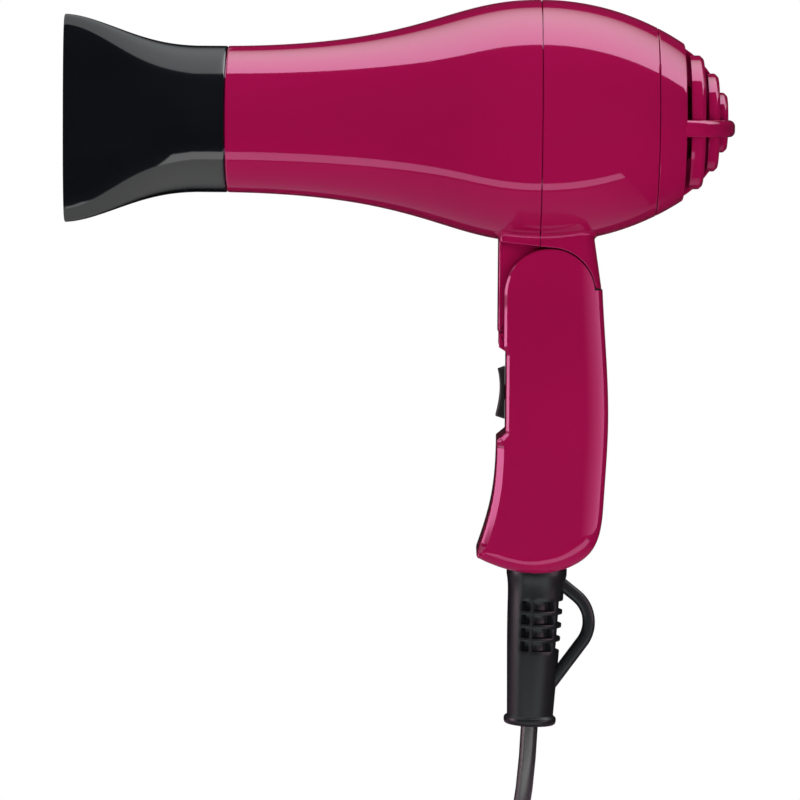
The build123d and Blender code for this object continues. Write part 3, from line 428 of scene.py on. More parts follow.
def broken(points, size, steps=3):
    """A closed profile with every corner rounded off by a small size."""
    made = []
    for before, corner, after in zip(points[-1:] + points[:-1], points, points[1:] + points[:1]):
        ends = []
        for other in (before, after):
            reach = hypot(other[0] - corner[0], other[1] - corner[1])
            ends.append(part_way(corner, other, min(size / reach, 0.45), 1))
        for step in range(steps + 1):
            t = step / steps
            made.append(tuple(
                (1 - t) ** 2 * first + 2 * t * (1 - t) * middle + t ** 2 * last
                for first, middle, last in zip(ends[0], corner, ends[1])
            ))
    return made


def outward_mesh(mesh, name):
    """The finished mesh data, with its faces turned outwards."""
    bmesh.ops.recalc_face_normals(mesh, faces=mesh.faces)
    data = bpy.data.meshes.new(name)
    mesh.to_mesh(data)
    mesh.free()
    return data


def turned_block(profile, place, steps):
    """A turned block, for carving."""
    mesh = bmesh.new()
    turned(mesh, profile, place, steps, False)
    return outward_mesh(mesh, "tool")


def add_to(mesh, part):
    """Adds a closed shell to a mesh, with its faces turned outwards."""
    data = outward_mesh(part, "part")
    mesh.from_mesh(data)
    bpy.data.meshes.remove(data)


def linked(name, data):
    """An object for some data, in the scene."""
    made = bpy.data.objects.new(name, data)
    bpy.context.scene.collection.objects.link(made)
    return made


def dressed(name, mesh, body, nodes, slot, crease=30.0):
    """Smooth shading, finish and place in the assembly for a finished mesh."""
    data = outward_mesh(mesh, name) if isinstance(mesh, bmesh.types.BMesh) else mesh
    data.materials.clear()
    data.materials.append(finishes[slot])
    data.polygons.foreach_set("use_smooth", [True] * len(data.polygons))
    data.set_sharp_from_angle(angle=radians(crease))
    piece = linked(name, data)
    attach(piece, body)
    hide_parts(*nodes)
    return piece


def evaluated_mesh(piece):
    """The mesh of an object with its modifiers worked out."""
    bpy.context.view_layer.update()
    return bpy.data.meshes.new_from_object(piece.evaluated_get(bpy.context.evaluated_depsgraph_get()))


def carved(data, tool_data):
    """A mesh less another."""
    blank = linked("blank", data)
    tool = linked("tool", tool_data)
    carve = blank.modifiers.new("carve", "BOOLEAN")
    carve.operation = "DIFFERENCE"
    carve.solver = "EXACT"
    carve.object = tool
    made = evaluated_mesh(blank)
    bpy.data.objects.remove(blank)
    bpy.data.objects.remove(tool)
    return made


def halved(mesh, x, keep_front):
    """Cuts a closed mesh across at a place along the barrel and closes the cut."""
    way = Vector((1, 0, 0)) if keep_front else Vector((-1, 0, 0))
    geometry = list(mesh.verts) + list(mesh.edges) + list(mesh.faces)
    cut = bmesh.ops.bisect_plane(
        mesh, geom=geometry, plane_co=Vector((x, 0, 0)) * MM, plane_no=way, clear_outer=True)
    edges = [item for item in cut["geom_cut"] if isinstance(item, bmesh.types.BMEdge)]
    bmesh.ops.edgeloop_fill(mesh, edges=edges)


# Outlines in a plane

def curve_through(points, first_way, last_way, steps):
    """A smooth curve through a few points that leaves and arrives along given ways."""
    places = numpy.array(points, float)
    spans = numpy.hypot(*(places[1:] - places[:-1]).T)
    count = len(places)
    matrix = numpy.eye(count)
    slopes = numpy.zeros((count, 2))
    slopes[0] = numpy.array(first_way) / hypot(*first_way)
    slopes[-1] = numpy.array(last_way) / hypot(*last_way)
    for index in range(1, count - 1):
        before, after = spans[index - 1], spans[index]
        matrix[index, index - 1:index + 2] = (1 / before, 2 / before + 2 / after, 1 / after)
        slopes[index] = 3 * (places[index] - places[index - 1]) / before ** 2
        slopes[index] += 3 * (places[index + 1] - places[index]) / after ** 2
    slopes = numpy.linalg.solve(matrix, slopes)
    made = []
    for index, span in enumerate(spans):
        for step in range(steps):
            t = step / steps
            late = 3 * t ** 2 - 2 * t ** 3
            start = places[index] * (1 - late) + slopes[index] * span * (t ** 3 - 2 * t ** 2 + t)
            end = places[index + 1] * late + slopes[index + 1] * span * (t ** 3 - t ** 2)
            made.append(tuple(start + end))
    return made + [tuple(places[-1])]


def arc(centre, r, first, last, steps):
    """Points of an arc between two angles in degrees."""
    angles = [radians(first + (last - first) * step / steps) for step in range(steps + 1)]
    return [(centre[0] + r * cos(angle), centre[1] + r * sin(angle)) for angle in angles]


def straight(start, end, pitch=1.0):
    """Points along a straight edge, without its last one."""
    count = max(1, round(hypot(end[0] - start[0], end[1] - start[1]) / pitch))
    return [part_way(start, end, step, count) for step in range(count)]


def polyline(corners, pitch=1.0):
    """Points along straight edges between corners, without the last corner."""
    return sum((straight(start, end, pitch) for start, end in zip(corners, corners[1:])), [])


def rounded_box(half_width, half_height, r, steps):
    """A box with turned corners, given by the centres of its corners."""
    outline = []
    for right, up, first in ((1, 1, 0), (-1, 1, 90), (-1, -1, 180), (1, -1, 270)):
        outline = outline + arc((right * half_width, up * half_height), r, first, first + 90, steps)
    return outline


def headings(points):
    """The way along an open line of points, at each of them."""
    ways = []
    for before, after in zip(points[:1] + points[:-1], points[1:] + points[-1:]):
        ways.append(Vector((after[0] - before[0], after[1] - before[1])).normalized())
    return ways


def ways_in(outline):
    """The way into a closed outline, drawn clockwise, at each of its points."""
    ways = []
    for before, here, after in zip(outline[-1:] + outline[:-1], outline, outline[1:] + outline[:1]):
        first = Vector((here[0] - before[0], here[1] - before[1])).normalized()
        second = Vector((after[0] - here[0], after[1] - here[1])).normalized()
        middle = (first + second).normalized()
        stretch = 1 / max(middle.dot(first), 0.5)
        ways.append(Vector((middle.y, -middle.x)) * stretch)
    return ways


def edge_turn(share, chamfer):
    """How far in and how far down an edge has gone on its way from a side wall to the rim.
    Its form lies between a round and a chamfer."""
    angle = share * pi / 2
    rounded = Vector((1 - sin(angle), 1 - cos(angle)))
    flat_end, flat_drop, overrun = 0.6, 0.78, 1.3
    if share < flat_end:
        drop = flat_drop * share / flat_end
        bevelled = Vector((1 - drop, drop))
    else:
        t = (share - flat_end) / (1 - flat_end)
        bevelled = Vector((1 - flat_drop, flat_drop)) * (1 - t) ** 2
        bevelled = bevelled + Vector((0, 1)) * 2 * t * (1 - t) + Vector((0, overrun)) * t ** 2
    return rounded.lerp(bevelled, chamfer)


def even_edge(outline, size):
    """The same round edge for every point of an outline."""
    return [(size, size, 0)] * len(outline)


def slab(mesh, outline, low, high, edges, place=in_frame, high_edges=None):
    """An outline carried from one depth to another, with its edges rounded or bevelled point by point.
    An edge is given as how far in, how far down, and its share of a chamfer."""
    ways = ways_in(outline)
    rings = []
    for side, level, sizes in ((1, low, edges), (-1, high, high_edges or edges)):
        made = [[
            place(x + way.x * (inset + edge_break), level, z + way.y * (inset + edge_break))
            for (x, z), way, (inset, down, chamfer) in zip(outline, ways, sizes)
        ]]
        for step in range(edge_steps):
            ring = []
            for (x, z), way, (inset, down, chamfer) in zip(outline, ways, sizes):
                turn = edge_turn(step / (edge_steps - 1), chamfer)
                move = way * inset * turn.x
                ring.append(place(x + move.x, level + side * down * turn.y, z + move.y))
            made.append(ring)
        rings = rings + (made if side > 0 else made[::-1])
    skin(mesh, rings, capped=True)


def prism(outline, half_width):
    """A plain block with a side outline, for carving."""
    mesh = bmesh.new()
    skin(mesh, [[in_frame(x, y, z) for x, z in outline] for y in (-half_width, half_width)], capped=True)
    return outward_mesh(mesh, "tool")


# Barrel

def flare(share):
    """A point of the front housing's outer profile, from the outlet to the crest."""
    places = ((outlet_x, outlet_r), flare_lead, (crest_lead_x, crest_r), (seam_x, crest_r))
    weights = ((1 - share) ** 3, 3 * share * (1 - share) ** 2, 3 * share ** 2 * (1 - share), share ** 3)
    return tuple(sum(weight * place[axis] for weight, place in zip(weights, places)) for axis in (0, 1))


def crown(x, wall=0.0):
    """The radius of the rear crown at a place along the barrel."""
    return crest_r - rear_crown_r + sqrt(rear_crown_r ** 2 - (x - seam_x) ** 2) - wall


def barrel_radius(x):
    """The outer radius of the barrel near the neck."""
    if x > seam_x:
        return crown(x)
    low, high = 0.0, 1.0
    for _ in range(40):
        middle = (low + high) / 2
        low, high = (middle, high) if flare(middle)[0] < x else (low, middle)
    return flare(low)[1]


def seam_edge(x, radius, way):
    """The rounded outer edge of a shell at a seam, from the outer face to the parting face."""
    lead = x - way * (edge_break + edge_lead)
    start_r = radius(x - way * edge_break)
    turn = ((1, 0), (0.35, 0.12), (0.1, 0.4), (0, 1))
    return [(lead, radius(lead))] + [
        (x - way * edge_break * back, start_r - edge_break * down) for back, down in turn
    ]


def front_profile():
    """Front housing: outer flare, seam edge, inner wall, step and outlet spigot."""
    steps = 72
    seam = seam_x - seam_half_gap
    outer = [flare(step / steps) for step in range(1, steps)]
    outer = [place for place in outer if place[0] < seam - 2 * edge_break]
    inner = [(x, r - shell_wall) for x, r in outer if x > outlet_x + shell_wall][::-4]
    spigot_end = outlet_x - spigot_length
    lip = seam_edge(outlet_x, lambda x: outlet_r, -1)[::-1]
    back = seam_edge(seam, lambda x: crest_r, 1) + [(seam, crest_r - shell_wall)]
    step_in = [
        (outlet_x + shell_wall, outlet_r - shell_wall),
        (outlet_x + shell_wall, spigot_in),
        (spigot_end, spigot_in),
        (spigot_end, spigot_r),
        (outlet_x, spigot_r),
    ]
    return lip + outer + back + inner + step_in


def rear_profile():
    """Rear housing: outer crown, cap seam with its lip, inner wall and the lip under the front one."""
    steps = 30
    front = seam_x + seam_half_gap
    rear = cap_seam_x - seam_half_gap
    span = rear - front - 2 * edge_break
    xs = [front + edge_break + span * step / steps for step in range(1, steps)]
    outer = [(x, crown(x)) for x in xs]
    inner = [(x, crown(x, shell_wall)) for x in xs if seam_x + lip_length < x < cap_seam_x - lip_wall]
    cap_lip_r = crown(cap_seam_x + lip_length, shell_wall) - lip_fit
    cap_lip = [
        (rear, cap_lip_r),
        (cap_seam_x + lip_length, cap_lip_r),
        (cap_seam_x + lip_length, cap_lip_r - lip_wall),
        (cap_seam_x - lip_wall, cap_lip_r - lip_wall),
    ]
    lip_r = crest_r - shell_wall - lip_fit
    front_lip = [
        (seam_x + lip_length, lip_r - lip_wall),
        (seam_x - lip_length, lip_r - lip_wall),
        (seam_x - lip_length, lip_r),
        (front, lip_r),
    ]
    front_edge = seam_edge(front, crown, -1)[::-1]
    return front_edge + outer + seam_edge(rear, crown, 1) + cap_lip + inner[::-3] + front_lip


def neck_plan():
    """One side of the neck seen from above, from the middle of its front to the middle of its back."""
    front_centre = (neck_front_x + neck_front_round, neck_half_width - neck_front_round)
    rear_centre = (horn_top[0] - neck_rear_round, neck_half_width - neck_rear_round)
    front = straight((neck_front_x, 0), (neck_front_x, front_centre[1]), 2.0)
    front_turn = arc(front_centre, neck_front_round, 180, 90, 10)
    side = straight((front_centre[0], neck_half_width), (rear_centre[0], neck_half_width), 1.2)[1:]
    rear_turn = arc(rear_centre, neck_rear_round, 90, 0, 14)
    rear = straight((horn_top[0], rear_centre[1]), (horn_top[0], 0), 2.0)[1:]
    return front + front_turn + side + rear_turn + rear + [(horn_top[0], 0)]


def horn_slant(x, rise):
    """How far the back of the neck leans out at a height above the hinge."""
    lean = (horn_foot[0] - horn_top[0]) * (horn_top[1] - rise) / (horn_top[1] - horn_foot[1])
    return lean * min(max(x / (horn_top[0] - neck_rear_round), 0), 1)


def neck_underside(x):
    """How high above the hinge the underside of the neck stands, clear of the cheeks."""
    if x < 0:
        return horn_arc_r + neck_underside_rise * x / neck_front_x
    return max(horn_foot[1], sqrt(max(horn_arc_r ** 2 - x ** 2, 0)))


def barrel_underside(x, y):
    """How high above the hinge the round of the barrel stands over a place."""
    return axis_z - hinge_z - sqrt(barrel_radius(x) ** 2 - y ** 2)


def neck_column(x, y, way):
    """A line up the wall of the neck that turns out into the round of the barrel."""
    foot = neck_underside(x)
    for _ in range(12):
        foot = neck_underside(x + horn_slant(x, foot))
    step = 0.5
    here = barrel_underside(x, y)
    out = barrel_underside(x + way.x * step, y + way.y * step)
    lift = atan2(out - here, step)
    centre_rise = here + (out - here) / step * neck_blend - neck_blend / cos(lift)
    centre_rise = max(centre_rise, foot + edge_break)
    column = [(-edge_break, foot), (-edge_break * 0.3, foot + edge_break * 0.3)]
    wall_steps = 5
    for index in range(wall_steps):
        column.append((0, foot + edge_break + (centre_rise - foot - edge_break) * index / wall_steps))
    blend_steps = 9
    for index in range(blend_steps + 1):
        angle = (pi / 2 - lift) * index / blend_steps
        column.append((neck_blend * (1 - cos(angle)), centre_rise + neck_blend * sin(angle)))
    return [
        from_hinge(x + way.x * away + horn_slant(x, rise), y + way.y * away, rise)
        for away, rise in column
    ]


def neck_cap(mesh, row, last, sink):
    """Closes one end of the neck with lines from side to side, laid under the barrel's round if sunk."""
    across = []
    for index in range(last + 1):
        near = row[index]
        if index in (0, last):
            across.append([near])
            continue
        far = row[len(row) - index]
        line = [near]
        for step in range(1, 6):
            point = near.co.lerp(far.co, step / 6) / MM
            if sink is not None:
                r = barrel_radius(point.x) - sink
                point.z = axis_z - sqrt(r ** 2 - point.y ** 2)
            line.append(mesh.verts.new(point * MM))
        across.append(line + [far])
    for line, after in zip(across, across[1:]):
        for step in range(max(len(line), len(after)) - 1):
            corners = [line[min(index, len(line) - 1)] for index in (step, step + 1)]
            corners = corners + [after[min(index, len(after) - 1)] for index in (step + 1, step)]
            mesh.faces.new(list(dict.fromkeys(corners)))


def neck_block(mesh):
    """The full-width top of the neck with its horn, blended into the round of the barrel."""
    plan = neck_plan()
    right = [neck_column(x, y, Vector((-way.y, way.x))) for (x, y), way in zip(plan, headings(plan))]
    left = [[Vector((point.x, -point.y, point.z)) for point in column] for column in right]
    rows = skin(mesh, list(zip(*(right + left[1:-1][::-1]))))
    neck_cap(mesh, rows[0], len(plan) - 1, None)
    neck_cap(mesh, rows[-1], len(plan) - 1, neck_sink)


def tongue_outline():
    """The narrow part of the neck that turns on the hinge pin, clockwise from its top."""
    hub = arc((0, 0), tongue_hub_r, 0, -90, 20)
    return hub[:-1] + polyline([
        hub[-1],
        (neck_front_x, -tongue_hub_r),
        (neck_front_x, tongue_top),
        (tongue_hub_r, tongue_top),
        (tongue_back_x, tongue_hub_r / 2),
        (tongue_back_x, horn_foot[1]),
        hub[0],
    ])


def tongue(mesh):
    """The tongue with its front edges rounded."""
    outline = tongue_outline()
    sizes = [tongue_round if x < neck_front_x + 0.1 else fine_edge for x, z in outline]
    edges = [(size, size, 0) for size in sizes]
    slab(mesh, outline, -tongue_half_width, tongue_half_width, edges, from_hinge)


def housing(name, profile, front):
    """One housing of the barrel with its half of the neck."""
    mesh = bmesh.new()
    for make in (neck_block, tongue):
        part = bmesh.new()
        make(part)
        bmesh.ops.recalc_face_normals(part, faces=part.faces)
        halved(part, seam_x - seam_half_gap if front else seam_x + seam_half_gap, front)
        add_to(mesh, part)
    turned(mesh, profile, on_barrel, barrel_steps)
    return dressed(name, mesh, "barrel", [name.replace("_shell", "")], "body_gloss")


housing("front_housing_shell", front_profile(), True)
housing("rear_housing_shell", rear_profile(), False)


# Concentrator nozzle

def nozzle_half_height(share):
    """Half the height of the nozzle at a share of its flare."""
    late = share ** flare_lag
    swell = flare_share * late ** 2 * (3 - 2 * late) + (1 - flare_share) * share
    return outlet_r + (mouth_half_height - outlet_r) * swell


def nozzle_half_width(share):
    """Half the width of the nozzle at a share of its flare."""
    return outlet_r + (mouth_half_width - outlet_r) * share ** 2 * (3 - 2 * share)


def oval_ring(half_width, half_height, power, steps, place):
    """A ring between an ellipse and a rounded block."""
    ring = []
    for step in range(steps):
        angle = 2 * pi * step / steps
        across = abs(cos(angle)) ** (2 / power) * half_width
        up = abs(sin(angle)) ** (2 / power) * half_height
        ring.append(place(across if cos(angle) > 0 else -across, up if sin(angle) > 0 else -up))
    return ring


def nozzle_ring(share, wall):
    """A ring of the nozzle's wall at a share of its flare, set in by a wall."""
    flared = max(share, 0)
    x = outlet_x - nozzle_gap - collar_length - share * mouth_reach
    power = 2 + (mouth_power - 2) * flared
    size = (nozzle_half_width(flared) - wall, nozzle_half_height(flared) - wall)
    return oval_ring(*size, power, barrel_steps, lambda across, up: on_barrel(x, across, up))


def concentrator():
    """Round collar drawn out to a flat upright slot, with its duct and the socket for the spigot."""
    flare_steps, collar_steps = 44, 4
    collar = -collar_length / mouth_reach
    edge = edge_break / mouth_reach
    lip = mouth_lip / mouth_reach
    walls = [(collar, edge_break), (collar + edge * 0.3, edge_break * 0.3)]
    walls = walls + [(collar + edge, 0), (collar + 1.5 * edge, 0)]
    walls = walls + [(collar * (1 - step / collar_steps), 0) for step in range(1, collar_steps)]
    walls = walls + [(step / flare_steps, 0) for step in range(flare_steps)]
    walls = walls + [(1 - lip * back, wall) for back, wall in mouth_edge]
    duct_start = (spigot_length - collar_length) / mouth_reach
    for step in range(flare_steps - 1, -1, -1):
        share = duct_start + (1 - duct_start) * step / flare_steps
        walls.append((share, nozzle_wall + (outlet_r - spigot_in - nozzle_wall) * (1 - share) ** 2))
    walls.append((duct_start, nozzle_half_height(duct_start) - socket_r))
    walls.append((collar, outlet_r - socket_r))
    mesh = bmesh.new()
    skin(mesh, [nozzle_ring(share, wall) for share, wall in walls], length_closed=True)
    return dressed("concentrator", mesh, "nozzle", ["concentrator_nozzle"], "nozzle_gloss")


concentrator()


# Inlet grille

def dome(r):
    """How far back the dome of the grille stands at a radius."""
    return dome_x + sqrt(dome_r ** 2 - r ** 2)


def ring_profile(r, depth):
    """A stepped ring: outer wall, bevel and rear face."""
    corner = dome(r)
    face = corner + ring_bevel
    corners = [
        (corner - depth, r),
        (corner, r),
        (face, r - ring_bevel),
        (face, r - ring_face),
        (face - ring_wall, r - ring_face),
        (face - ring_wall, r - ring_wall),
        (corner - depth, r - ring_wall),
    ]
    return broken(corners, ring_break)


def rim_profile():
    """The solid rim, which carries on the crown of the rear housing."""
    steps = 14
    front = cap_seam_x + seam_half_gap
    span = cap_end_x - rim_round - front - edge_break
    xs = [front + edge_break + span * step / steps for step in range(1, steps)]
    outer = [(x, crown(x)) for x in xs]
    run = cap_end_x - seam_x
    turn = atan2(1, run / sqrt(rear_crown_r ** 2 - run ** 2))
    turn_r = crown(cap_end_x - rim_round * (1 - cos(turn)))
    end_centre = (cap_end_x - rim_round, turn_r - rim_round * sin(turn))
    end = arc(end_centre, rim_round, degrees(turn), 0, 6)
    inner_centre = (cap_end_x - rim_inner_round, crown(cap_end_x) - shell_wall + rim_inner_round)
    inner_end = arc(inner_centre, rim_inner_round, 0, -90, 3)
    inner = [(x, crown(x, shell_wall)) for x in xs][::-3]
    root = [(front, crown(front, shell_wall))]
    return seam_edge(front, crown, -1)[::-1] + outer + end + inner_end + inner + root


def hub_profile():
    """The small domed hub in the middle of the rings."""
    steps = 4
    top = dome(hub_r)
    flat_r = hub_r - hub_round
    edge = arc((top - hub_round, flat_r), hub_round, 90, 20, steps)
    face = []
    for step in range(1, steps + 1):
        rise = hub_swell * sin(radians(90 * step / steps))
        face.append((edge[-1][0] + rise, flat_r * (1 - step / steps)))
    return [(top - hub_depth, 0), (top - hub_depth, hub_r)] + edge[1:] + face


def spoke_outline():
    """An upright spoke in the side view, sunk a little below the rings."""
    root = cap_end_x - shell_wall - dome_x
    outer_r = dome_r - spoke_sink
    outline = []
    for r, way in ((outer_r, 1), (outer_r - spoke_depth, -1)):
        lean = way * degrees(asin(sqrt(r ** 2 - root ** 2) / r))
        outline = outline + arc((dome_x, axis_z), r, lean, -lean, 40)
    return outline


def bar_outline():
    """The cross bar seen from above, from one side of the rim round the back to the other."""
    steps = 64
    x, half_width = bar_root
    outline = []
    for depth, way in ((0, 1), (bar_depth, -1)):
        reach = bar_tip_x - x - depth
        for step in range(steps + 1):
            angle = radians(way * (90 - 180 * step / steps))
            outline.append((x + reach * cos(angle), (half_width - depth) * sin(angle)))
    return outline


def on_bar(x, up, y):
    """A point of the cross bar, from its outline seen from above."""
    return Vector((x, y, axis_z - bar_drop + up))


def grille_frame():
    """The rim, hub, spokes and cross bar of the rear cap."""
    mesh = bmesh.new()
    turned(mesh, rim_profile(), on_barrel, barrel_steps)
    turned(mesh, hub_profile(), on_barrel, ring_steps, closed=False)
    outline = spoke_outline()
    slab(mesh, outline, -spoke_half_width, spoke_half_width, even_edge(outline, fine_edge))
    outline = bar_outline()
    half = outline[:len(outline) // 2]
    edges = even_edge(half, bar_edge) + even_edge(half, fine_edge)
    slab(mesh, outline, -bar_half_height, bar_half_height, edges, on_bar)
    return dressed("inlet_grille_cap", mesh, "barrel", ["inlet_grille"], "body_gloss")


def node_tree(name, values):
    """An empty Geometry Nodes tree with an input for each value: the tree, its inputs, its output."""
    kinds = {float: "Float", int: "Int", Vector: "Vector", bpy.types.Material: "Material"}
    tree = bpy.data.node_groups.new(name, "GeometryNodeTree")
    tree.interface.new_socket("Geometry", in_out="INPUT", socket_type="NodeSocketGeometry")
    for label, value in values.items():
        tree.interface.new_socket(label, in_out="INPUT", socket_type="NodeSocket" + kinds[type(value)])
    tree.interface.new_socket("Geometry", in_out="OUTPUT", socket_type="NodeSocketGeometry")
    return tree, tree.nodes.new("NodeGroupInput").outputs, tree.nodes.new("NodeGroupOutput")


def grown(tree, data, values):
    """The plain mesh that a Geometry Nodes tree makes of some mesh data, with its named inputs set."""
    seed = linked("seed", data)
    modifier = seed.modifiers.new("grow", "NODES")
    modifier.node_group = tree
    for item in tree.interface.items_tree:
        if item.item_type == "SOCKET" and item.in_out == "INPUT" and item.name in values:
            modifier[item.identifier] = values[item.name]
    made = evaluated_mesh(seed)
    seed.modifiers.clear()
    bpy.data.objects.remove(seed)
    return made


def ended(tree, given, out, geometry):
    """Ends a tree: instances made real and the finish set."""
    real = node(tree, "GeometryNodeRealizeInstances", Geometry=geometry).outputs["Geometry"]
    dressed_up = node(tree, "GeometryNodeSetMaterial", Geometry=real, Material=given["Material"])
    tree.links.new(dressed_up.outputs["Geometry"], out.inputs["Geometry"])


def ring_tree(values):
    """Sweeps flat profiles round a circle and stands the rings on the barrel axis."""
    tree, given, out = node_tree("turned_rings", values)
    profiles = node(tree, "GeometryNodeMeshToCurve", Mesh=given["Geometry"]).outputs["Curve"]
    size = {"Resolution": given["Steps"], "Radius": given["Circle"]}
    circle = node(tree, "GeometryNodeCurvePrimitiveCircle", **size).outputs["Curve"]
    swept = node(tree, "GeometryNodeCurveToMesh", Curve=circle, Profile_Curve=profiles).outputs["Mesh"]
    height = node(tree, "ShaderNodeCombineXYZ", Z=given["Axis Height"]).outputs["Vector"]
    stood = node(tree, "GeometryNodeTransform", Geometry=swept, Translation=height)
    stood.inputs["Rotation"].default_value = (0, -pi / 2, 0)
    ended(tree, given, out, stood.outputs["Geometry"])
    return tree


def louver_rings():
    """The stepped rings: each profile laid out from the largest ring's radius and swept round."""
    places, edges = [], []
    for r, depth in zip(ring_radii, ring_depths):
        profile = ring_profile(r, depth)
        first, count = len(places), len(profile)
        places = places + [Vector((radius - ring_radii[0], along, 0)) * MM for along, radius in profile]
        edges = edges + [(first + step, first + (step + 1) % count) for step in range(count)]
    data = bpy.data.meshes.new("ring_profiles")
    data.from_pydata(places, edges, [])
    values = {
        "Circle": ring_radii[0] * MM,
        "Steps": ring_steps,
        "Axis Height": axis_z * MM,
        "Material": finishes["body_gloss"],
    }
    mesh = bmesh.new()
    mesh.from_mesh(grown(ring_tree(values), data, values))
    return dressed("louver_rings", mesh, "barrel", ["inlet_grille"], "body_gloss")


louver_rings()
grille_frame()


# Handle

def handle_outline():
    """The side view of the handle, clockwise from above its shoulder, with its edge at each point.
    Above the shoulder it runs on to the height of the cheek, for the cut that clears the horn."""
    top_z = hinge_z + cheek_r
    back = curve_through((shoulder, rear_crown, rear_waist, heel, sole), (1, -20), (-1, 0), 24)
    run, rise = sole[0] - toe_under[0], toe_under[1] - sole[1]
    under_r = (run ** 2 + rise ** 2) / (2 * rise)
    under_turn = degrees(asin(run / under_r))
    under = arc((sole[0], sole[1] + under_r), under_r, -90, -90 - under_turn, 18)
    toe_cap = [toe_under, (toe_under[0] - 0.45, toe_under[1] + 0.3), (toe[0] - 0.1, toe[1] - 0.9)]
    front = curve_through((toe, shin, ramp_foot), (1, 3), (0, 1), 20)
    ramp = straight(ramp_foot, (recess_x, recess_foot_z))
    recess = straight((recess_x, recess_foot_z), (recess_x, recess_head_z))
    throat = polyline([(recess_x, recess_head_z), (-cheek_r, strip_foot_z), (-cheek_r, hinge_z)])
    cheek = arc((0, hinge_z), cheek_r, 180, 90, 36)
    shoulder_top = (shoulder[0] - 0.6, top_z)
    rear = [
        (straight(shoulder_top, shoulder, 1.5), (8.5, 5.0, 0)),
        (back[:60], (8.5, 5.0, 0)),
        (back[60:84], (7.0, 5.0, 0)),
        (back[84:-1], (6.0, 5.0, 0)),
        (under[:-1], (5.0, 4.6, 0)),
    ]
    shins = [
        (toe_cap, (0.6, 1.2, 0.5)),
        (front[:1], (1.0, 1.3, 0.8)),
        (front[1:2], (1.4, 1.5, 1)),
        (front[2:3], (1.8, 1.7, 1)),
        (front[3:4], (2.2, 1.9, 1)),
        (front[4:-1], (2.5, 2.0, 1)),
        (ramp, (1.6, 1.4, 1)),
        (recess, (1.1, 1.1, 1)),
    ]
    head = [
        (throat + cheek[:12], (1.1, 1.1, 1)),
        (cheek[12:], (0.45, 0.45, 1)),
        (straight((0.0, top_z), shoulder_top, 1.5)[1:], (0.45, 0.45, 1)),
    ]
    sections = rear + shins + head
    outline = sum((points for points, edge in sections), [])
    edges = sum(([edge] * len(points) for points, edge in sections), [])
    crisp_start = sum(len(points) for points, edge in rear)
    crisp_end = crisp_start + sum(len(points) for points, edge in shins) - 6
    gentle, crisp = eased(edges, 4), eased(edges, 1)
    return outline, gentle[:crisp_start] + crisp[crisp_start:crisp_end] + gentle[crisp_end:]


def eased(edges, reach):
    """Edge sizes that change little by little from each stretch to the next."""
    count = len(edges)
    made = []
    for index in range(count):
        near = [edges[(index + step) % count] for step in range(-reach, reach + 1)]
        made.append(tuple(sum(values) / len(near) for values in zip(*near)))
    return made


def on_side(side):
    """Places outlines on the left of the handle, for -1, or on its right."""
    return lambda x, y, z: Vector((x, side * y, z))


def front_strip(side):
    """The raised strip on the front of one cheek, below the tongue."""
    root_x = recess_x + strip_root
    head, foot = (root_x, strip_head_z), (root_x, recess_head_z)
    corners = [foot, (strip_x, strip_foot_z), (strip_x, strip_head_z), head]
    outline = polyline(corners, 0.5) + straight(head, foot)
    mesh = bmesh.new()
    slab(mesh, outline, slot_half_width, strip_half_width, even_edge(outline, strip_edge), on_side(side))
    return mesh


def horn_room():
    """What the handle leaves free behind its cheeks, for the horn of the neck."""
    first = degrees(asin((shoulder[1] - hinge_z) / cheek_r))
    round_cut = arc((0, hinge_z), cheek_r, first, 88, 40)
    top_z = hinge_z + cut_reach
    outline = round_cut + [(round_cut[-1][0], top_z), (cut_reach, top_z), (cut_reach, shoulder[1])]
    return prism(outline[::-1], cut_reach)


def hinge_room():
    """The gap between the cheeks that the tongue sweeps as the dryer folds."""
    drop = hinge_z - slot_foot_z
    swing = degrees(asin(sqrt(slot_sweep_r ** 2 - drop ** 2) / slot_sweep_r))
    sweep = arc((0, hinge_z), slot_sweep_r, -90 + swing, -90 - swing, 24)
    outline = [(slot_rear_x, hinge_z + cut_reach), (slot_rear_x, slot_foot_z)] + sweep
    outline = outline + [(-cut_reach, slot_foot_z), (-cut_reach, hinge_z + cut_reach)]
    return prism(outline, slot_half_width)


def relief_room():
    """The socket for the strain relief in the sole."""
    r = relief_mouth_r + lip_fit
    top = relief_inset + lip_fit
    profile = [(-relief_room_drop, 0), (-relief_room_drop, r), (top, r), (top, 0)]
    return turned_block(profile, on_relief, relief_steps)


def screw_room(x, z):
    """The counterbore of a handle screw in the right half."""
    out = handle_half_width + 5
    profile = [(screw_seat_y, 0), (screw_seat_y, screw_bore_r), (out, screw_bore_r), (out, 0)]
    return turned_block(profile, lambda y, a, b: Vector((x + a, y, z + b)), 40)


def handle_half(name, side):
    """One half of the handle, parted on the middle plane."""
    outline, edges = handle_outline()
    mesh = bmesh.new()
    slab(mesh, outline, -handle_half_width, -parting_half_gap, edges, on_side(-side),
         even_edge(outline, parting_edge))
    data = outward_mesh(mesh, name)
    tools = [horn_room(), hinge_room(), relief_room()]
    if side > 0:
        tools = tools + [screw_room(x, z) for x, z in screw_places]
    for tool in tools:
        data = carved(data, tool)
    mesh = bmesh.new()
    mesh.from_mesh(data)
    add_to(mesh, front_strip(side))
    mesh.to_mesh(data)
    mesh.free()
    return dressed(name + "_shell", data, "handle", [name], "body_gloss")


handle_half("handle_left", -1)
handle_half("handle_right", 1)


# Handle screws

def times(tree, value, factor):
    """A value of a node tree times a fixed factor."""
    made = node(tree, "ShaderNodeMath", {"operation": "MULTIPLY"})
    tree.links.new(value, made.inputs[0])
    made.inputs[1].default_value = factor
    return made.outputs[0]


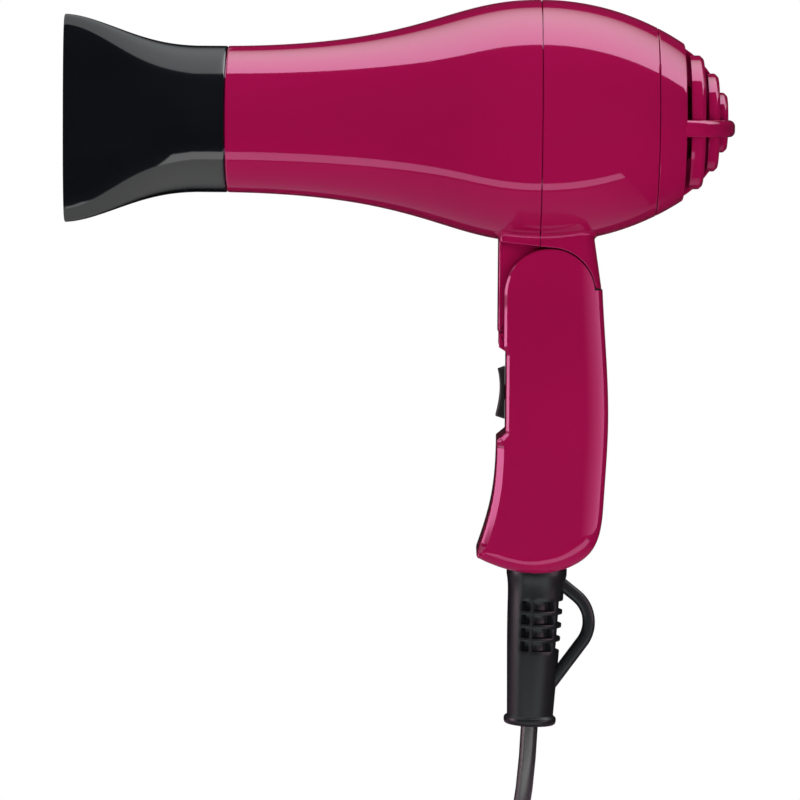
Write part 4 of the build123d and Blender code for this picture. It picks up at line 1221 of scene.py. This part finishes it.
def screw_tree(values):
    """A screw with a crowned, cross-slotted head on every point, its axis along Y."""
    tree, given, out = node_tree("cross_screws", values)
    head_r, head_height, length = given["Head Radius"], given["Head Height"], given["Shank Length"]
    head = node(tree, "GeometryNodeMeshCone", Vertices=48, Side_Segments=1, Depth=head_height,
                Radius_Bottom=head_r, Radius_Top=times(tree, head_r, screw_head_taper)).outputs["Mesh"]
    recess = node(tree, "GeometryNodeMeshBoolean", {"operation": "DIFFERENCE"}, Mesh_1=head)
    lift = node(tree, "ShaderNodeCombineXYZ", Z=head_height).outputs["Vector"]
    for size in ("Slot", "Slot Across"):
        box = node(tree, "GeometryNodeMeshCube", Size=given[size]).outputs["Mesh"]
        slot = node(tree, "GeometryNodeTransform", Geometry=box, Translation=lift)
        tree.links.new(slot.outputs["Geometry"], recess.inputs["Mesh 2"])
    shank = node(tree, "GeometryNodeMeshCylinder", Vertices=32, Radius=given["Shank Radius"],
                 Depth=length)
    drop = node(tree, "ShaderNodeCombineXYZ", Z=times(tree, length, -0.5)).outputs["Vector"]
    hung = node(tree, "GeometryNodeTransform", Geometry=shank.outputs["Mesh"], Translation=drop)
    whole = node(tree, "GeometryNodeJoinGeometry")
    for geometry in (recess.outputs["Mesh"], hung.outputs["Geometry"]):
        tree.links.new(geometry, whole.inputs["Geometry"])
    screw = whole.outputs["Geometry"]
    points = node(tree, "GeometryNodeMeshToPoints", Mesh=given["Geometry"]).outputs["Points"]
    placed = node(tree, "GeometryNodeInstanceOnPoints", Points=points, Instance=screw)
    placed.inputs["Rotation"].default_value = (-pi / 2, 0, 0)
    ended(tree, given, out, placed.outputs["Instances"])
    return tree


def handle_screws():
    """The two screws that draw the halves together, let into the right half."""
    data = bpy.data.meshes.new("screw_points")
    data.from_pydata([Vector((x, screw_seat_y, z)) * MM for x, z in screw_places], [], [])
    head_height = screw_top_y - screw_seat_y
    slot = Vector((screw_head_r * 1.2, screw_head_r * 0.28, head_height * 1.2)) * MM
    values = {
        "Head Radius": screw_head_r * MM,
        "Head Height": head_height * MM,
        "Shank Radius": screw_shank_r * MM,
        "Shank Length": (screw_seat_y - screw_tip_y) * MM,
        "Slot": slot,
        "Slot Across": Vector((slot.y, slot.x, slot.z)),
        "Material": finishes["screw_steel"],
    }
    data = grown(screw_tree(values), data, values)
    return dressed("cross_screws", data, "handle", ["handle_screws"], "screw_steel")


handle_screws()


# Slide switch button

def switch_button():
    """Saddle-shaped button with the stem that reaches the switch."""
    base = recess_x - button_gap
    low = button_z - button_length / 2
    high = button_z + button_length / 2
    foot, waist, head = [recess_x - rise for rise in button_rises]
    ends = ((foot, low + button_draft), (waist, button_z), (head, high - button_draft))
    saddle = curve_through(ends, (1, 4), (-1, 4), 16)
    outline = saddle + polyline([ends[-1], (base, high), (base, low), saddle[0]])[1:]
    sizes = [button_round if x < base - 0.3 else button_foot_edge for x, z in outline]
    edges = [(size, size, 0) for size in sizes]
    mesh = bmesh.new()
    slab(mesh, outline, -button_half_width, button_half_width, eased(edges, 1))
    root_x = base - stem_root
    stem_low, stem_high = button_z - stem_half_height, button_z + stem_half_height
    stem = [(root_x, stem_low), (root_x, stem_high), (stem_tip_x, stem_high), (stem_tip_x, stem_low)]
    slab(mesh, stem, -stem_half_width, stem_half_width, even_edge(stem, stem_edge))
    return dressed("slide_button", mesh, "switch", ["switch_button"], "switch_satin")


switch_button()


# Strain relief

def relief_radius(up):
    """The radius of the strain relief's body at a height below its mouth."""
    foot_up = flange_height - relief_length
    profile = curve_through(
        ((relief_mouth_r, 0.0), (relief_waist[0], -relief_waist[1]), (relief_foot_r, foot_up)),
        (-1, -4), (relief_foot_r - relief_waist[0], foot_up + relief_waist[1]), 12)
    for (r, level), (next_r, next_level) in zip(profile, profile[1:]):
        if next_level <= up <= level:
            return r + (next_r - r) * (up - level) / (next_level - level)
    return profile[0][0] if up > 0 else profile[-1][0]


def divided(breaks, pitch):
    """A rising list of places with gaps no wider than a pitch, through given breaks."""
    made = []
    for low, high in zip(breaks, breaks[1:]):
        count = max(1, round((high - low) / pitch))
        made = made + [low + (high - low) * step / count for step in range(count)]
    return made


def window_angles():
    """The angles round the relief where windows start and end, on both sides."""
    spans = []
    for start, end in window_spans:
        spans.append(((start - 90) % 360, (end - 90) % 360))
        spans.append(((90 - end) % 360, (90 - start) % 360))
    return spans


def relief_body():
    """Bend relief with rows of window pockets and an end flange."""
    mesh = bmesh.new()
    spans = window_angles()
    angle_breaks = sorted({angle for span in spans for angle in span})
    angles = divided(angle_breaks + [angle_breaks[0] + 360], 6.0)
    count = len(angles)
    foot_up = flange_height - relief_length
    middles = [-window_drop - row * window_pitch for row in range(window_rows)]
    rows = [(middle - window_height / 2, middle + window_height / 2) for middle in middles]
    level_breaks = sorted({foot_up, 0.0} | {level for row in rows for level in row})
    levels = divided(level_breaks, 1.6) + [0.0]

    def corner(angle, level, r):
        turn = radians(angle)
        return mesh.verts.new(on_relief(level, r * cos(turn), r * sin(turn)) * MM)

    def floor(row, column):
        key = (row, column % count)
        if key not in floors:
            floors[key] = corner(angles[key[1]], levels[row], window_floor_r)
        return floors[key]

    def pocket(row, column):
        if not 0 <= row < len(levels) - 1:
            return False
        after = (column + 1) % count
        angle = (angles[column % count] + angles[after] + (0 if after else 360)) / 2
        level = (levels[row] + levels[row + 1]) / 2
        in_row = any(low < level < high for low, high in rows)
        return in_row and any((angle - start) % 360 < (end - start) % 360 for start, end in spans)

    outer = [[corner(angle, level, relief_radius(level)) for angle in angles] for level in levels]
    floors = {}
    for row in range(len(levels) - 1):
        for column in range(count):
            after = (column + 1) % count
            places = ((row, column), (row, after), (row + 1, after), (row + 1, column))
            if not pocket(row, column):
                mesh.faces.new([outer[r][c] for r, c in places])
                continue
            mesh.faces.new([floor(r, c) for r, c in places])
            beside = ((row - 1, column), (row, column + 1), (row + 1, column), (row, column - 1))
            for first, second, near in zip(places, places[1:] + places[:1], beside):
                if not pocket(*near):
                    wall = [outer[r][c] for r, c in (first, second)]
                    mesh.faces.new(wall + [floor(*second), floor(*first)])
    neck = ((relief_inset, relief_mouth_r), (relief_inset, cord_hole_r))
    flange = (
        (foot_up - 0.25, relief_foot_r + 0.25),
        (foot_up - 0.45, flange_r - 0.5),
        (foot_up - 0.75, flange_r - 0.12),
        (foot_up - flange_round, flange_r),
        (flange_round - relief_length, flange_r),
        (0.4 - relief_length, flange_r - 0.25),
        (0.1 - relief_length, flange_r - 0.7),
        (-relief_length, flange_r - flange_round),
        (-relief_length, cord_hole_r + 0.3),
        (0.3 - relief_length, cord_hole_r),
    )
    upper, lower = [
        [[corner(angle, up, r) for angle in angles] for up, r in profile] for profile in (neck, flange)
    ]
    joined(mesh, lower[::-1] + [outer[0]])
    joined(mesh, [outer[-1]] + upper + [lower[-1]])
    return mesh


def rounded_route(points, r):
    """A flat route with its corners turned by arcs of one radius."""
    steps = 16
    made = [points[0]]
    for before, here, after in zip(points, points[1:], points[2:]):
        into = Vector((before[0] - here[0], before[1] - here[1])).normalized()
        away = Vector((after[0] - here[0], after[1] - here[1])).normalized()
        half = into.angle(away) / 2
        reach = r / (sin(half) / cos(half))
        centre = Vector(here) + (into + away).normalized() * (r / sin(half))
        first, last = [Vector(here) + way * reach - centre for way in (into, away)]
        for step in range(steps + 1):
            made.append(tuple(centre + first.lerp(last, step / steps).normalized() * r))
    return made + [points[-1]]


def hang_loop(mesh):
    """The flat loop on the back of the strain relief."""
    route = rounded_route([(x, -drop) for x, drop in loop_places], loop_bend)
    section = rounded_box(loop_depth / 2 - loop_round, loop_width / 2 - loop_round, loop_round, 5)
    skin(mesh, [
        [on_relief(up - way.x * width, right + way.y * width, depth) for depth, width in section]
        for (right, up), way in zip(route, headings(route))
    ], capped=True)


def strain_relief():
    """The strain relief with its windows softened, and its hang loop."""
    blank = linked("blank", outward_mesh(relief_body(), "relief"))
    soften = blank.modifiers.new("soften", "BEVEL")
    soften.width = window_soften * MM
    soften.segments = 2
    soften.limit_method = "ANGLE"
    soften.angle_limit = radians(50)
    mesh = bmesh.new()
    mesh.from_mesh(evaluated_mesh(blank))
    bpy.data.objects.remove(blank)
    hang_loop(mesh)
    return dressed("bend_relief", mesh, "handle", ["strain_relief"], "relief_satin", 40.0)


strain_relief()


# Mains cord, wound up on the surface below, with its tie and plug

def flat(angle):
    """A level direction at an angle from X."""
    return Vector((cos(radians(angle)), sin(radians(angle)), 0))


coil_slant = degrees(atan2(coil_pitch / (2 * pi), coil_outer_r))
coil_start_angle = cord_heading - 90 - coil_slant
coil_start = Vector(lead_route[-1]) + flat(cord_heading) * cord_d
coil_centre = coil_start - flat(coil_start_angle) * coil_outer_r
layer_turn = 180 * coil_half_turns + (180 - cord_heading + 2 * coil_slant) / 2
coil_turn = 2 * layer_turn + 180
coil_inner_r = coil_outer_r - coil_pitch * coil_turn / 2 / 360
floor_z = coil_centre.z - cord_d / 2 - tie_gap - tie_wall


def coil_radius(turn):
    """The coil's radius, winding in over the first half of its turns and out over the second."""
    return coil_inner_r + coil_pitch * abs(turn - coil_turn / 2) / 360


def coil_point(turn, swell=1.0):
    """A point on the coil after an angle turned, climbing to the second layer half way."""
    climb = min(max((turn - layer_turn) / 180, 0), 1)
    level = coil_rise * climb ** 2 * (3 - 2 * climb)
    out = flat(coil_start_angle + turn)
    return coil_centre + out * coil_radius(turn) * swell + Vector((0, 0, level))


def tail_route():
    """The cord from the end of the coil to the plug, which lies on the same surface."""
    start = coil_point(coil_turn) + flat(0) * cord_d
    drop = Vector((0, 0, floor_z + plug_half_height - start.z))
    points = [start, start + flat(0) * tail_run]
    points.append(points[-1] + flat(tail_swing) * tail_run + drop)
    return points + [points[-1] + flat(0) * tail_run]


def cord_route():
    """The whole free cord: the lead from the relief, the turns of the coil and the tail to the plug."""
    count = round(coil_turn / 360 * coil_points_per_turn)
    step = coil_turn / count
    swell = 1 / cos(radians(step / 2))
    turns = [coil_point((index + 0.5) * step, swell) for index in range(count)]
    return [Vector(point) for point in lead_route] + turns + tail_route()


def cord_curve(name, points):
    """A round cord on one smooth open spline."""
    curve = bpy.data.curves.new(name, "CURVE")
    curve.dimensions = "3D"
    spline = curve.splines.new("NURBS")
    spline.points.add(len(points) - 1)
    for control, point in zip(spline.points, points):
        control.co = (*(point * MM), 1)
    spline.order_u = 3
    spline.use_endpoint_u = True
    spline.resolution_u = 6
    curve.bevel_depth = cord_d / 2 * MM
    curve.bevel_resolution = 5
    curve.use_fill_caps = True
    curve.materials.append(finishes["cord_sheath"])
    return linked(name, curve)


def inner_cord():
    """The end of the cord inside the strain relief and the handle."""
    mesh = bmesh.new()
    r, soft = cord_d / 2, cord_end_round
    profile = [(-relief_length, 0), (-relief_length, r), (inner_cord_top - soft, r)]
    profile = profile + [(inner_cord_top, r - soft), (inner_cord_top, 0)]
    turned(mesh, profile, on_relief, 32, False)
    return dressed("cord_end", mesh, "handle", ["inner_cord"], "cord_sheath")


def cord_tie():
    """The rubber band that holds the wound cord together."""
    first = (tie_angle - coil_start_angle) % 360
    turns = [first + 360 * step for step in range(coil_half_turns + 1) if first + 360 * step < coil_turn]
    radii = [coil_radius(turn) for turn in turns]
    corner_r = cord_d / 2
    half_width = (max(radii) - min(radii) + cord_d) / 2 + tie_gap
    half_height = (coil_rise + cord_d) / 2 + tie_gap
    out, side = flat(tie_angle), flat(tie_angle + 90)
    middle = coil_centre + out * (max(radii) + min(radii)) / 2 + Vector((0, 0, coil_rise / 2))

    def ring(grow, along):
        box = rounded_box(half_width - corner_r, half_height - corner_r, corner_r + grow, 8)
        return [middle + out * x + Vector((0, 0, z)) + side * along for x, z in box]

    half = tie_length / 2
    section = broken([(0, -half), (tie_wall, -half), (tie_wall, half), (0, half)], tie_round)
    mesh = bmesh.new()
    skin(mesh, [ring(grow, along) for grow, along in section], length_closed=True)
    return dressed("coil_tie", mesh, "handle", ["cord_tie"], "tie_black")


def plug(place):
    """Moulded flat plug from the end of the cord, lying along X."""
    sections = [
        (0.0, 3.4, 3.4, 2.0),
        (0.05, 4.4, 4.4, 2.0),
        (0.6, plug_neck_r, plug_neck_r, 2.0),
        (4.0, plug_neck_r, plug_neck_r, 2.0),
        (8.0, plug_neck_r + 0.2, plug_neck_r + 0.15, 2.0),
        (plug_neck_length, plug_neck_r + 0.9, plug_neck_r + 0.7, 2.1),
        (16.0, 8.3, 6.9, 2.3),
        (20.0, 11.3, 8.6, 2.6),
        (24.0, 13.6, 9.8, 2.9),
        (28.0, 15.1, 10.6, plug_power),
        (32.0, 16.3, 11.2, plug_power),
        (36.0, 17.1, 11.7, plug_power),
    ]
    for back, inset in ((1.2, 0), (0.5, 0.15), (0.12, 0.5), (0, 1.1), (0, 2.5)):
        size = (plug_half_width - inset, plug_half_height - inset)
        sections.append((plug_length - back, *size, plug_power))
    mesh = bmesh.new()
    skin(mesh, [
        oval_ring(*section, 64, lambda across, up: place + Vector((along, across, up)))
        for along, *section in sections
    ], capped=True)
    return dressed("mains_plug", mesh, "handle", ["plug_body"], "cord_sheath", 40.0)


def plug_pins(place):
    """The two round contact pins with rounded tips."""
    mesh = bmesh.new()
    end = plug_length + plug_pin_length
    soft = plug_pin_round
    tip = arc((end - soft, plug_pin_r - soft), soft, 90, 0, 8)
    profile = [(plug_length, 0), (plug_length, plug_pin_r)] + tip + [(end, 0)]
    for y in (-plug_pin_spacing / 2, plug_pin_spacing / 2):
        turned(mesh, profile, lambda x, a, b: place + Vector((x, y + a, b)), 40, False)
    return dressed("contact_pins", mesh, "handle", ["plug_pins"], "pin_plated")


inner_cord()
tie = cord_tie()
plug_place = tail_route()[-1]
plug_piece = plug(plug_place)
pins = plug_pins(plug_place)
flex = cord_curve("mains_cord", cord_route())
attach(flex, "handle")
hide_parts("cord_lead", "cord_coil", "cord_tail")


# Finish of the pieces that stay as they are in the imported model

for subpart in frame["record"]["subparts"]:
    kept = frame["nodes"][subpart["node"]]
    kept.data.materials.clear()
    kept.data.materials.append(finishes[subpart["material_slot"]])


# Studio

def emitter(name, colour, strength, fade=None):
    """A glowing material, which may fade from nothing to full between two places along an axis."""
    material = bpy.data.materials.new(name)
    material.use_nodes = True
    tree = material.node_tree
    tree.nodes.remove(tree.nodes["Principled BSDF"])
    glow = node(tree, "ShaderNodeEmission", Color=(*colour, 1), Strength=strength)
    if fade:
        axis, low, high = fade
        place = node(tree, "ShaderNodeTexCoord").outputs["Object"]
        along = node(tree, "ShaderNodeSeparateXYZ", Vector=place).outputs[axis]
        ramp = node(tree, "ShaderNodeMapRange", {"interpolation_type": "SMOOTHSTEP"}, Value=along,
                    From_Min=low, From_Max=high, To_Max=strength)
        tree.links.new(ramp.outputs["Result"], glow.inputs["Strength"])
    tree.links.new(glow.outputs["Emission"], tree.nodes["Material Output"].inputs["Surface"])
    return material


def level_sheet(x_low, x_high, y_low, y_high, z):
    """The corners of a level card."""
    return (x_low, y_low, z), (x_high, y_low, z), (x_high, y_high, z), (x_low, y_high, z)


def upright_sheet(start, end, z_low, z_high):
    """The corners of an upright card that stands over a line."""
    return (*start, z_low), (*end, z_low), (*end, z_high), (*start, z_high)


def card(name, corners, colour=(1, 1, 1), strength=0.0, fade=None):
    """A flat studio card that only shows in reflections; without strength it is a black flag."""
    data = bpy.data.meshes.new(name)
    data.from_pydata([Vector(corner) for corner in corners], [], [(0, 1, 2, 3)])
    data.materials.append(emitter(name + "_glow", colour, strength, fade))
    made = linked(name, data)
    made.visible_camera = False
    made.visible_diffuse = False
    made.visible_shadow = False
    made.visible_transmission = False


def aimed(made, place, aim):
    """Places a lamp or a camera and points it at an aim."""
    made.location = place
    made.rotation_euler = (Vector(aim) - Vector(place)).to_track_quat("-Z", "Y").to_euler()


def lamp(name, place, aim, size, power):
    """A soft lamp for the light on the object, apart from its reflections."""
    light = bpy.data.lights.new(name, "AREA")
    light.shape = "RECTANGLE"
    light.size, light.size_y = size
    light.energy = power
    made = linked(name, light)
    aimed(made, place, aim)
    made.visible_glossy = False


def floor_sheet():
    """The pale surface that the wound cord and the plug lie on."""
    data = bpy.data.meshes.new("floor")
    data.from_pydata(level_sheet(-1.0, 1.0, -1.0, 0.34, floor_z * MM), [], [(0, 1, 2, 3)])
    material, tree, shader = new_material("pale_floor", (0.86, 0.86, 0.86), 0.7)
    tone = shades(tree, noise(tree, 6.0, 2.0), (0.85, 0.85, 0.85), (0.88, 0.88, 0.88))
    tree.links.new(tone, shader.inputs["Base Color"])
    shader.inputs["Specular IOR Level"].default_value = 0.0
    data.materials.append(material)
    made = linked("floor", data)
    made.visible_glossy = False


def studio():
    """Softboxes that show in the gloss, bounce cards below, and even lamps for the light itself."""
    height = 0.8
    top_z = axis_z * MM + height
    low_z = floor_z * MM + 0.024
    nozzle_low_x, nozzle_high_x = -0.25, -0.1095
    flag_z = 0.052
    card("top_softbox", level_sheet(-1.6, 1.6, -0.26 * height, height, top_z),
         (1, 1, 1), 7.5, ("Y", 1.3 * height, -0.3 * height))
    card("nozzle_softbox", level_sheet(nozzle_low_x, nozzle_high_x, -0.032, 0.1, 0.165),
         (0.95, 1, 1), 1.75, ("Y", 0.09, -0.03))
    card("left_softbox", upright_sheet((-0.9, -0.25), (-0.9, 0.06), -0.13, 0.9), (1, 0.62, 0.75), 9.6)
    card("left_low_softbox", upright_sheet((-0.9, -0.45), (-0.9, 0.3), -0.7, -0.15), (0.97, 1, 1), 3.4)
    card("right_softbox", upright_sheet((0.06, -0.26), (0.266, -0.036), -0.09, 0.05),
         (1, 0.6, 0.75), 4.4, ("X", 0.05, 0.26))
    card("right_flag", level_sheet(-0.3, 0.32, -0.32, -0.05, flag_z))
    card("rear_flag", level_sheet(0.045, 0.32, -0.05, 0.0, flag_z))
    floor_sheet()
    card("floor_bounce", level_sheet(-0.9, 0.3, -0.118, 0.25, low_z),
         (1, 0.62, 0.83), 0.46, ("X", 0.26, 0.04))
    card("floor_flag", level_sheet(-0.9, 0.3, -0.118, 0.25, low_z - 0.002))
    card("cord_bounce", level_sheet(-0.25, 0.25, -0.29, -0.13, low_z), (1, 1, 1), 2.7)
    card("nozzle_bounce", level_sheet(nozzle_low_x, nozzle_high_x, -0.043, 0.1, 0.035),
         (1, 1, 0.98), 1.35, ("Y", 0.06, -0.03))
    lamp("key_lamp", (-0.5, -1.7, 1.0), (0, 0, 0.02), (1.4, 1.0), 13.5)
    lamp("fill_lamp", (0.9, -1.6, 0.2), (0, 0, 0.02), (1.2, 1.2), 6.6)
    lamp("top_lamp", (0, 0.1, 1.4), (0, 0, 0.05), (1.6, 1.0), 20)
    lamp("under_lamp", (0.1, -0.9, -0.17), (0, 0, 0.07), (1.2, 0.2), 4.2)
    lamp("back_lamp", (0.3, 1.7, 0.7), (0, 0, 0.02), (1.4, 1.0), 26)


def white_room():
    """A world that is white to the eye and dim to the light."""
    world = bpy.data.worlds.new("white_room")
    bpy.context.scene.world = world
    world.use_nodes = True
    tree = world.node_tree
    ray = node(tree, "ShaderNodeLightPath").outputs
    seen = node(tree, "ShaderNodeMath", {"operation": "MAXIMUM"})
    tree.links.new(ray["Is Camera Ray"], seen.inputs[0])
    tree.links.new(ray["Is Transmission Ray"], seen.inputs[1])
    strength = between(tree, seen.outputs[0], 0.015, 1.0)
    tree.links.new(strength, tree.nodes["Background"].inputs["Strength"])
    tree.nodes["Background"].inputs["Color"].default_value = (1, 1, 1, 1)


def camera():
    """The photograph's view: level with the barrel, from its left side."""
    data = bpy.data.cameras.new("view")
    data.lens = 184.3
    made = linked("view", data)
    aimed(made, (-0.0308, -1.353, 0.100), (-0.04884, 0.0, 0.0076))
    made.rotation_euler.rotate_axis("Z", radians(0.41))
    bpy.context.scene.camera = made


studio()
white_room()
camera()
bpy.context.scene.view_settings.view_transform = "Standard"
